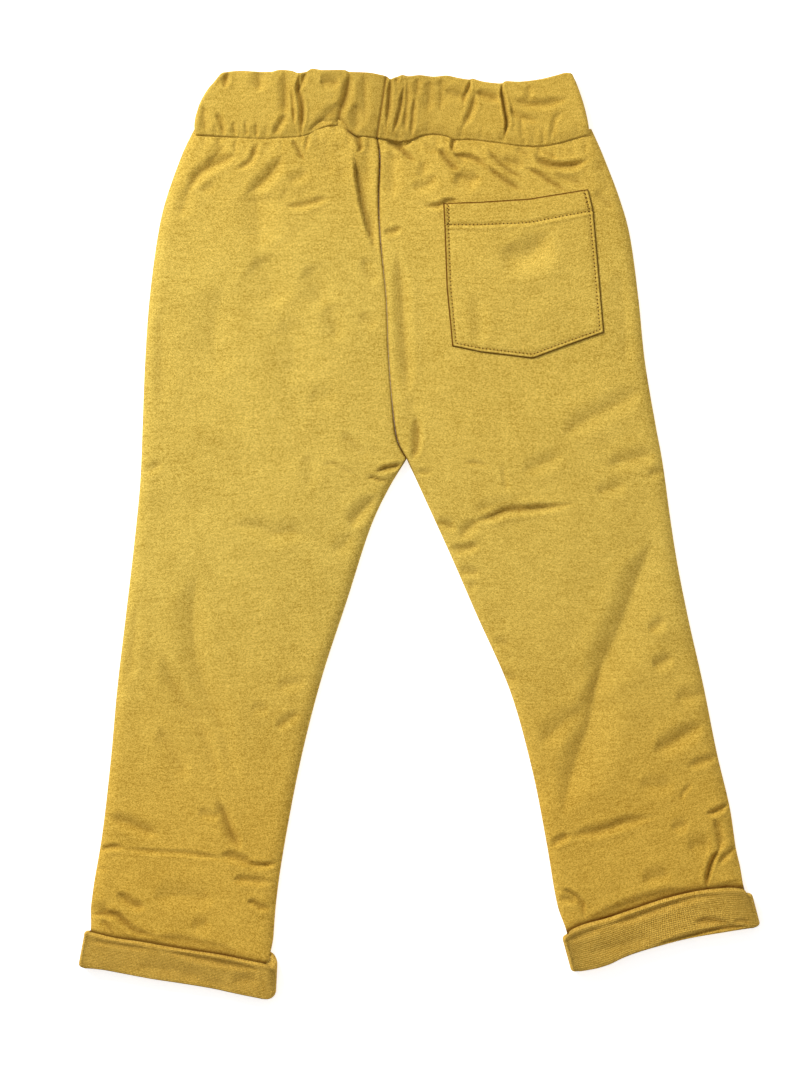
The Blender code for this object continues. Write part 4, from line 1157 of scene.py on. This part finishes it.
pocket_across, pocket_down = np.meshgrid(pocket_stops(POCKET_WIDTH, 91),
                                         pocket_stops(POCKET_LENGTH, 98))
pocket_u, pocket_v = pocket_across / POCKET_WIDTH, pocket_down / POCKET_LENGTH
pocket_xy = pocket_place(pocket_u, pocket_v)
leg_surface = BVHTree.FromObject(back_right, bpy.context.evaluated_depsgraph_get())
leg_heights = drop_heights(leg_surface, pocket_xy[..., 0], pocket_xy[..., 1])
pocket_under = np.maximum(soften(leg_heights, 10), leg_heights) + ABOVE_LEG
pocket_under = np.maximum(soften(pocket_under, 3), leg_heights + LEAST_ABOVE_LEG)
relief = pocket_relief(pocket_across, pocket_down)
pocket_top = pocket_under + POCKET_CLOTH + relief
pocket = shell("pocket_cloth", np.dstack([pocket_xy, pocket_top]),
               np.dstack([pocket_xy, pocket_under]), pocket_across, -pocket_down,
               pocket_darkness(pocket_across, pocket_down, relief))

# %% [markdown]
# The stitching is a run of short threads with a needle hole between each two. Each hole is a
# small dark bead: painted shade for the shadow inside the hole. Geometry Nodes suit this: one
# tree walks along a drawn line, sets a thread on it every 2.2 mm and a hole half-way between,
# and turns each one along the line. The tree's inputs name these sizes.

# %% Stitch tree
STITCH_PITCH = 2.2
STITCH_LENGTH = 1.5
THREAD_WIDTH = 0.45
HOLE_WIDTH = 0.85
PAST_ANY_LINE = 100
BEAD = {"Segments": 8, "Rings": 6, "Radius": 0.5}


def stitch_tree():
    tree = bpy.data.node_groups.new("stitch line", "GeometryNodeTree")
    face = tree.interface
    face.new_socket("Line", in_out="INPUT", socket_type="NodeSocketGeometry")
    for name in ("Pitch", "Stitch length", "Thread width", "Hole width"):
        face.new_socket(name, in_out="INPUT", socket_type="NodeSocketFloat")
    for name in ("Thread", "Hole"):
        face.new_socket(name, in_out="INPUT", socket_type="NodeSocketMaterial")
    face.new_socket("Stitches", in_out="OUTPUT", socket_type="NodeSocketGeometry")
    nodes, links = tree.nodes, tree.links
    given = nodes.new("NodeGroupInput")
    result = nodes.new("NodeGroupOutput")
    curve = nodes.new("GeometryNodeMeshToCurve")
    links.new(given.outputs["Line"], curve.inputs["Mesh"])
    half_pitch = nodes.new("ShaderNodeMath")
    half_pitch.operation = "MULTIPLY"
    half_pitch.inputs[1].default_value = 0.5
    links.new(given.outputs["Pitch"], half_pitch.inputs[0])
    trimmed = nodes.new("GeometryNodeTrimCurve")
    trimmed.mode = "LENGTH"
    trimmed.inputs[5].default_value = PAST_ANY_LINE
    links.new(curve.outputs["Curve"], trimmed.inputs["Curve"])
    links.new(half_pitch.outputs[0], trimmed.inputs[4])
    joined = nodes.new("GeometryNodeJoinGeometry")
    for source, long_size, wide_size, material in (
        (curve, "Stitch length", "Thread width", "Thread"),
        (trimmed, "Hole width", "Hole width", "Hole"),
    ):
        places = nodes.new("GeometryNodeCurveToPoints")
        places.mode = "LENGTH"
        links.new(source.outputs["Curve"], places.inputs["Curve"])
        links.new(given.outputs["Pitch"], places.inputs["Length"])
        bead = nodes.new("GeometryNodeMeshUVSphere")
        for setting, value in BEAD.items():
            bead.inputs[setting].default_value = value
        size = nodes.new("ShaderNodeCombineXYZ")
        for axis, measure in (("X", wide_size), ("Y", wide_size), ("Z", long_size)):
            links.new(given.outputs[measure], size.inputs[axis])
        set_down = nodes.new("GeometryNodeInstanceOnPoints")
        links.new(places.outputs["Points"], set_down.inputs["Points"])
        links.new(places.outputs["Rotation"], set_down.inputs["Rotation"])
        links.new(bead.outputs["Mesh"], set_down.inputs["Instance"])
        links.new(size.outputs["Vector"], set_down.inputs["Scale"])
        real = nodes.new("GeometryNodeRealizeInstances")
        links.new(set_down.outputs["Instances"], real.inputs["Geometry"])
        finish = nodes.new("GeometryNodeSetMaterial")
        links.new(real.outputs["Geometry"], finish.inputs["Geometry"])
        links.new(given.outputs[material], finish.inputs["Material"])
        links.new(finish.outputs["Geometry"], joined.inputs["Geometry"])
    links.new(joined.outputs["Geometry"], result.inputs["Stitches"])
    return tree


STITCHES = stitch_tree()
print("stitch tree of", len(STITCHES.nodes), "nodes")

# %% [markdown]
# The cloth's colour was read from the photo as an average: sRGB (204, 169, 73), a mustard.
# It isn't even. The stitches take the dye one by one, which gives a heather of specks about
# half a millimetre wide. Short streaks of yarn and patches one to five centimetres wide, all a
# little lighter or darker, lie over them. Where `crease` is high the colour turns brown: this
# is painted shade. The bump is the knit itself: rows of small V shapes on the face.

# %% Cloth materials
STITCH_TONE_SIZE = 0.0005
STITCH_TONE = 0.5
LEAST_TONE = 0.1
SPECK_RANGE = (0.3, 0.7)
SPECKS_IN_BUMP = 0.3
CREASE_SHARE = 0.5
KNIT_DEPTH = 0.0003
WALES, COURSES = 1000, 1250
LOOPS, LOOP_ROWS = 800, 900
BROWNER = (0.95, 0.835, 0.65)
BROWNER_PLACES = [("Y", 0.0, -0.22, 1), ("Y", 0.15, 0.24, 0.4), ("X", -0.06, 0.04, 0.18)]


def linear(*rgb):
    """Turn an sRGB colour, 0 to 255, into the linear one that shaders use."""
    return tuple((c / 255 / 12.92) if c < 10.3 else ((c / 255 + 0.055) / 1.055) ** 2.4 for c in rgb)


def math_node(nodes, links, operation, *inputs):
    node = nodes.new("ShaderNodeMath")
    node.operation = operation
    for socket, value in zip(node.inputs, inputs):
        if isinstance(value, (int, float)):
            socket.default_value = value
        else:
            links.new(value, socket)
    return node.outputs[0]


def blend_colours(nodes, links, share, low, high):
    """Mix two colours, given as values or sockets, by a share."""
    node = nodes.new("ShaderNodeMix")
    node.data_type = "RGBA"
    links.new(share, node.inputs[0])
    for socket, value in ((node.inputs[6], low), (node.inputs[7], high)):
        if isinstance(value, tuple):
            socket.default_value = (*value, 1)
        else:
            links.new(value, socket)
    return node.outputs[2]


def speckle(nodes, links, vector, size, detail):
    """Soft specks about size metres wide, as a share from 0 to 1."""
    noise = nodes.new("ShaderNodeTexNoise")
    noise.inputs["Scale"].default_value = 1 / size
    noise.inputs["Detail"].default_value = detail
    links.new(vector, noise.inputs["Vector"])
    spread = nodes.new("ShaderNodeMapRange")
    for end, value in zip(("From Min", "From Max"), SPECK_RANGE):
        spread.inputs[end].default_value = value
    links.new(noise.outputs["Fac"], spread.inputs["Value"])
    return spread.outputs["Result"]


def ramp(nodes, links, value, start, end, high):
    """A value that goes from 0 to high while another goes from start to end."""
    node = nodes.new("ShaderNodeMapRange")
    node.interpolation_type = "SMOOTHSTEP"
    for socket, number in zip(list(node.inputs)[1:5], (start, end, 0, high)):
        socket.default_value = number
    links.new(value, node.inputs["Value"])
    return node.outputs["Result"]


def painted_shade_tint(nodes, links, place, colour):
    """Painted shade: the cloth is made browner towards the ankles, the waist and the right leg."""
    split = nodes.new("ShaderNodeSeparateXYZ")
    links.new(place, split.inputs["Vector"])
    ankles, waist, right = (ramp(nodes, links, split.outputs[axis], start, end, most)
                            for axis, start, end, most in BROWNER_PLACES)
    share = math_node(nodes, links, "ADD", math_node(nodes, links, "ADD", ankles, waist), right)
    tint = blend_colours(nodes, links, share, (1.0, 1.0, 1.0), BROWNER)
    product = nodes.new("ShaderNodeMix")
    product.data_type = "RGBA"
    product.blend_type = "MULTIPLY"
    product.inputs[0].default_value = 1
    links.new(colour, product.inputs[6])
    links.new(tint, product.inputs[7])
    return product.outputs[2]


def cloth_material(name, dark, light, painted_fold_shade, knit, bump):
    """Mustard knit: heather specks, soft patches, painted shade in the folds, and the knit as bump.
    """
    material = bpy.data.materials.new(name)
    material.use_nodes = True
    nodes, links = material.node_tree.nodes, material.node_tree.links
    shader = nodes["Principled BSDF"]
    shader.inputs["Roughness"].default_value = 0.92
    shader.inputs["Specular IOR Level"].default_value = 0.04
    shader.inputs["Sheen Weight"].default_value = 0.05
    shader.inputs["Sheen Roughness"].default_value = 0.5
    shader.inputs["Sheen Tint"].default_value = (1.0, 0.85, 0.45, 1)
    place = nodes.new("ShaderNodeTexCoord").outputs["Object"]
    cloth = nodes.new("ShaderNodeUVMap")
    cloth.uv_map = "cloth"
    yarn, streak = (nodes.new("ShaderNodeMapping") for _ in range(2))
    yarn.inputs["Scale"].default_value = (0.8, 1.2, 1)
    streak.inputs["Scale"].default_value = (0.09, 1, 1)
    for stretch in (yarn, streak):
        links.new(cloth.outputs["UV"], stretch.inputs["Vector"])
    stitches = nodes.new("ShaderNodeTexVoronoi")
    stitches.inputs["Scale"].default_value = 1 / STITCH_TONE_SIZE
    links.new(yarn.outputs["Vector"], stitches.inputs["Vector"])
    one_by_one = nodes.new("ShaderNodeSeparateColor")
    links.new(stitches.outputs["Color"], one_by_one.inputs["Color"])
    specks = speckle(nodes, links, yarn.outputs["Vector"], 0.0008, 1)
    streaks = speckle(nodes, links, streak.outputs["Vector"], 0.0013, 2)
    patches = speckle(nodes, links, place, 0.012, 1)
    worn = speckle(nodes, links, place, 0.05, 2)
    tone = math_node(nodes, links, "MULTIPLY_ADD", one_by_one.outputs["Red"], STITCH_TONE,
                     LEAST_TONE)
    for source, share in ((specks, 0.05), (streaks, 0.13), (patches, 0.06), (worn, 0.06)):
        tone = math_node(nodes, links, "MULTIPLY_ADD", source, share, tone)
    colour = blend_colours(nodes, links, tone, dark, light)
    # Painted shade: browner towards the ankles, the waist and the right leg.
    colour = painted_shade_tint(nodes, links, place, colour)
    # Painted shade: the colour is mixed towards the fold shade colour where `crease` is high.
    crease = nodes.new("ShaderNodeAttribute")
    crease.attribute_name = "crease"
    deep = math_node(nodes, links, "MULTIPLY", crease.outputs["Fac"], CREASE_SHARE)
    colour = blend_colours(nodes, links, deep, colour, painted_fold_shade)
    links.new(colour, shader.inputs["Base Color"])
    height = knit(nodes, links, cloth.outputs["UV"])
    height = math_node(nodes, links, "MULTIPLY_ADD", specks, SPECKS_IN_BUMP, height)
    raised = nodes.new("ShaderNodeBump")
    raised.inputs["Strength"].default_value = bump
    raised.inputs["Distance"].default_value = KNIT_DEPTH
    links.new(height, raised.inputs["Height"])
    links.new(raised.outputs["Normal"], shader.inputs["Normal"])
    return material


def plain_knit(nodes, links, cloth):
    """Rows of V stitches: wales 1 mm apart, courses 0.8 mm apart."""
    split = nodes.new("ShaderNodeSeparateXYZ")
    links.new(cloth, split.inputs["Vector"])
    wale = math_node(nodes, links, "MULTIPLY", split.outputs["X"], WALES)
    course = math_node(nodes, links, "MULTIPLY", split.outputs["Y"], COURSES)
    leg = math_node(nodes, links, "PINGPONG", wale, 0.5)
    rise = math_node(nodes, links, "MULTIPLY_ADD", leg, -1.3, course)
    loop = math_node(nodes, links, "PINGPONG", rise, 0.5)
    return math_node(nodes, links, "MULTIPLY_ADD", leg, 0.8, loop)


def looped_knit(nodes, links, cloth):
    """The reverse of French terry: small slanting loops, each row shifted from the last."""
    split = nodes.new("ShaderNodeSeparateXYZ")
    links.new(cloth, split.inputs["Vector"])
    row = math_node(nodes, links, "MULTIPLY", split.outputs["Y"], LOOP_ROWS)
    slant = math_node(nodes, links, "MULTIPLY_ADD", row, 0.45,
                      math_node(nodes, links, "MULTIPLY", split.outputs["X"], LOOPS))
    loop = math_node(nodes, links, "PINGPONG", slant, 0.5)
    step = math_node(nodes, links, "PINGPONG", row, 0.5)
    return math_node(nodes, links, "MULTIPLY", math_node(nodes, links, "ADD", loop, step), 1.6)


# The third colour of each cloth is the painted shade of its folds, seams and pocket outline.
knit_face = cloth_material("knit_face_cloth", linear(144, 108, 12), linear(250, 219, 110),
                           linear(88, 48, 2), plain_knit, 0.5)
knit_reverse = cloth_material("knit_reverse_cloth", linear(150, 113, 18), linear(253, 221, 118),
                              linear(94, 54, 4), looped_knit, 1.0)


def plain_material(name, colour, roughness):
    material = bpy.data.materials.new(name)
    material.use_nodes = True
    nodes, links = material.node_tree.nodes, material.node_tree.links
    shader = nodes["Principled BSDF"]
    shader.inputs["Roughness"].default_value = roughness
    shader.inputs["Specular IOR Level"].default_value = 0.2
    place = nodes.new("ShaderNodeTexCoord").outputs["Object"]
    twist = speckle(nodes, links, place, 0.0004, 2)
    darker = tuple(c * 0.8 for c in colour)
    links.new(blend_colours(nodes, links, twist, darker, colour), shader.inputs["Base Color"])
    return material


thread = plain_material("mustard_thread", linear(206, 164, 66), 0.8)
# Painted shade: the dark beads that stand for the shadow in each needle hole.
needle_hole_shade = plain_material("needle_hole_shade", linear(98, 66, 16), 1.0)
print("materials:", [m.name for m in bpy.data.materials])

# %% [markdown]
# The stitch lines are drawn on the pocket in its own shares across and down, set on its
# surface, and handed to the tree. Sides and bottom are one line, the mouth's hem another, and
# a short second line at each top corner takes the strain, as on any pocket that is pulled at.

# %% Pocket stitching
DRAWN_SPACING = 0.6
ABOVE_CLOTH = 0.05
LINE_START = 0.6
HEM_LINE_START = 0.8
SECOND_LINE_START = 1.2
TIP_SHARE = 0.52


def on_pocket(across, down):
    """Points on the pocket's surface, in millimetres, from millimetres across and down."""
    u, v = across / POCKET_WIDTH, down / POCKET_LENGTH
    rows, columns = pocket_top.shape
    i = np.interp(v, pocket_v[:, 0], np.arange(rows))
    j = np.interp(u, pocket_u[0], np.arange(columns))
    i0 = np.minimum(i.astype(int), rows - 2)
    j0 = np.minimum(j.astype(int), columns - 2)
    low = mix(pocket_top[i0, j0], pocket_top[i0, j0 + 1], j - j0)
    high = mix(pocket_top[i0 + 1, j0], pocket_top[i0 + 1, j0 + 1], j - j0)
    return np.column_stack([pocket_place(u, v), mix(low, high, i - i0) + ABOVE_CLOTH])


def drawn(corners):
    """Closely spaced points along straight runs across the pocket."""
    corners = np.array(corners, float)
    length = np.hypot(*np.diff(corners, axis=0).T).sum()
    flat = along_edge(corners, np.linspace(0, 1, int(length / DRAWN_SPACING)))
    return on_pocket(flat[:, 0], flat[:, 1])


near, far, foot = STITCH_INSET, POCKET_WIDTH - STITCH_INSET, POCKET_LENGTH - STITCH_INSET
tip = POCKET_WIDTH * TIP_SHARE
stitch_lines = [
    drawn([(near, LINE_START), (near, foot), (tip, foot), (far, foot), (far, LINE_START)]),
    drawn([(HEM_LINE_START, POCKET_HEM), (POCKET_WIDTH - HEM_LINE_START, POCKET_HEM)]),
    drawn([(near + 0.7, SECOND_LINE_START), (near + 0.5, POCKET_HEM)]),
    drawn([(far - 0.7, SECOND_LINE_START), (far - 0.5, POCKET_HEM)]),
]
line_points = np.concatenate(stitch_lines) * MM
line_edges, start = [], 0
for line in stitch_lines:
    line_edges += [(start + k, start + k + 1) for k in range(len(line) - 1)]
    start += len(line)
line_mesh = bpy.data.meshes.new("stitch lines")
line_mesh.from_pydata(line_points.tolist(), line_edges, [])
line_object = bpy.data.objects.new("stitch_lines", line_mesh)
bpy.context.scene.collection.objects.link(line_object)
sewing = line_object.modifiers.new("stitches", "NODES")
sewing.node_group = STITCHES
sizes = {
    "Pitch": STITCH_PITCH * MM, "Stitch length": STITCH_LENGTH * MM,
    "Thread width": THREAD_WIDTH * MM, "Hole width": HOLE_WIDTH * MM,
    "Thread": thread, "Hole": needle_hole_shade,
}
for item in STITCHES.interface.items_tree:
    if item.name in sizes:
        sewing[item.identifier] = sizes[item.name]
stitched = line_object.evaluated_get(bpy.context.evaluated_depsgraph_get())
stitching = bpy.data.objects.new("pocket_stitching", bpy.data.meshes.new_from_object(stitched))
bpy.context.scene.collection.objects.link(stitching)
stitching.data.shade_smooth()
bpy.data.objects.remove(line_object, do_unlink=True)
print("pocket_stitching", len(stitching.data.polygons), "faces")

# %% [markdown]
# The table below is the garment's cutting list: each sheet of cloth, the flat size of the part
# of it that shows, its area, and what it lies on. The real cut is larger: wider at the waist,
# where the cloth is gathered, and longer at the ankle, where it is turned up.

# %% Dress the frame
Cut = namedtuple("Cut", "piece node slot width length area held rests_on")
CUTS = [
    Cut(front_left, "front_left_leg", "knit_face", 0.176, 0.515, 0.0655, "laid", ()),
    Cut(front_right, "front_right_leg", "knit_face", 0.176, 0.500, 0.0640, "laid", ()),
    Cut(back_left, "back_left_leg", "knit_face", 0.176, 0.515, 0.0680, "laid", (front_left,)),
    Cut(back_right, "back_right_leg", "knit_face", 0.176, 0.500, 0.0665, "laid", (front_right,)),
    Cut(waistband, "waistband", "knit_face", 0.560, 0.038, None, "gathered", ()),
    Cut(pocket, "back_pocket", "knit_face", 0.090, 0.092, None, "laid", (back_right,)),
    Cut(left_hem, "left_cuff", "knit_reverse", 0.245, 0.026, None, "folded", ()),
    Cut(right_hem, "right_cuff", "knit_reverse", 0.245, 0.026, None, "folded", ()),
]
for cut in CUTS:
    cut.piece.data.materials.clear()
    cut.piece.data.materials.append(knit_reverse if cut.slot == "knit_reverse" else knit_face)
    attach(cut.piece, "root")
    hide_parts(cut.node)
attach(stitching, "root")

# %% [markdown]
# The garment lies on a near-white table under soft light. A wide lamp stands beyond the waist,
# so the creases have their light side towards the top of the picture, and a pale sky fills
# the shadows, as in a light tent. The table glows a little, which takes away nearly all of the
# garment's shadow on it, because the photo shows the garment on plain white.

# %% Table and light
TABLE_SIZE = 8
BELOW_GARMENT = 0.0003
TABLE_GLOW = 0.6
SKY_STRENGTH = 0.36

bpy.ops.mesh.primitive_plane_add(size=TABLE_SIZE, location=(0, 0, -BELOW_GARMENT))
table = bpy.context.object
table.name = "table"
table_top = bpy.data.materials.new("table_top")
table_top.use_nodes = True
paint = table_top.node_tree.nodes["Principled BSDF"]
paint.inputs["Base Color"].default_value = (0.93, 0.93, 0.93, 1)
paint.inputs["Roughness"].default_value = 0.9
paint.inputs["Emission Color"].default_value = (1, 1, 1, 1)
paint.inputs["Emission Strength"].default_value = TABLE_GLOW
table.data.materials.append(table_top)


def lamp(name, place, size, power):
    """A round lamp that is aimed at the middle of the garment."""
    light = bpy.data.lights.new(name, "AREA")
    light.shape = "DISK"
    light.size = size
    light.energy = power
    thing = bpy.data.objects.new(name, light)
    bpy.context.scene.collection.objects.link(thing)
    thing.location = place
    thing.rotation_euler = (-Vector(place)).to_track_quat("-Z", "Y").to_euler()


lamp("window", place=(-1.3, 1.45, 1.5), size=0.75, power=58)
lamp("ceiling", place=(-0.3, 0.3, 2.4), size=1.6, power=8)
sky = bpy.data.worlds.new("sky")
bpy.context.scene.world = sky
sky.use_nodes = True
sky.node_tree.nodes["Background"].inputs["Color"].default_value = (1, 1, 1, 1)
sky.node_tree.nodes["Background"].inputs["Strength"].default_value = SKY_STRENGTH
bpy.context.scene.view_settings.view_transform = "Standard"
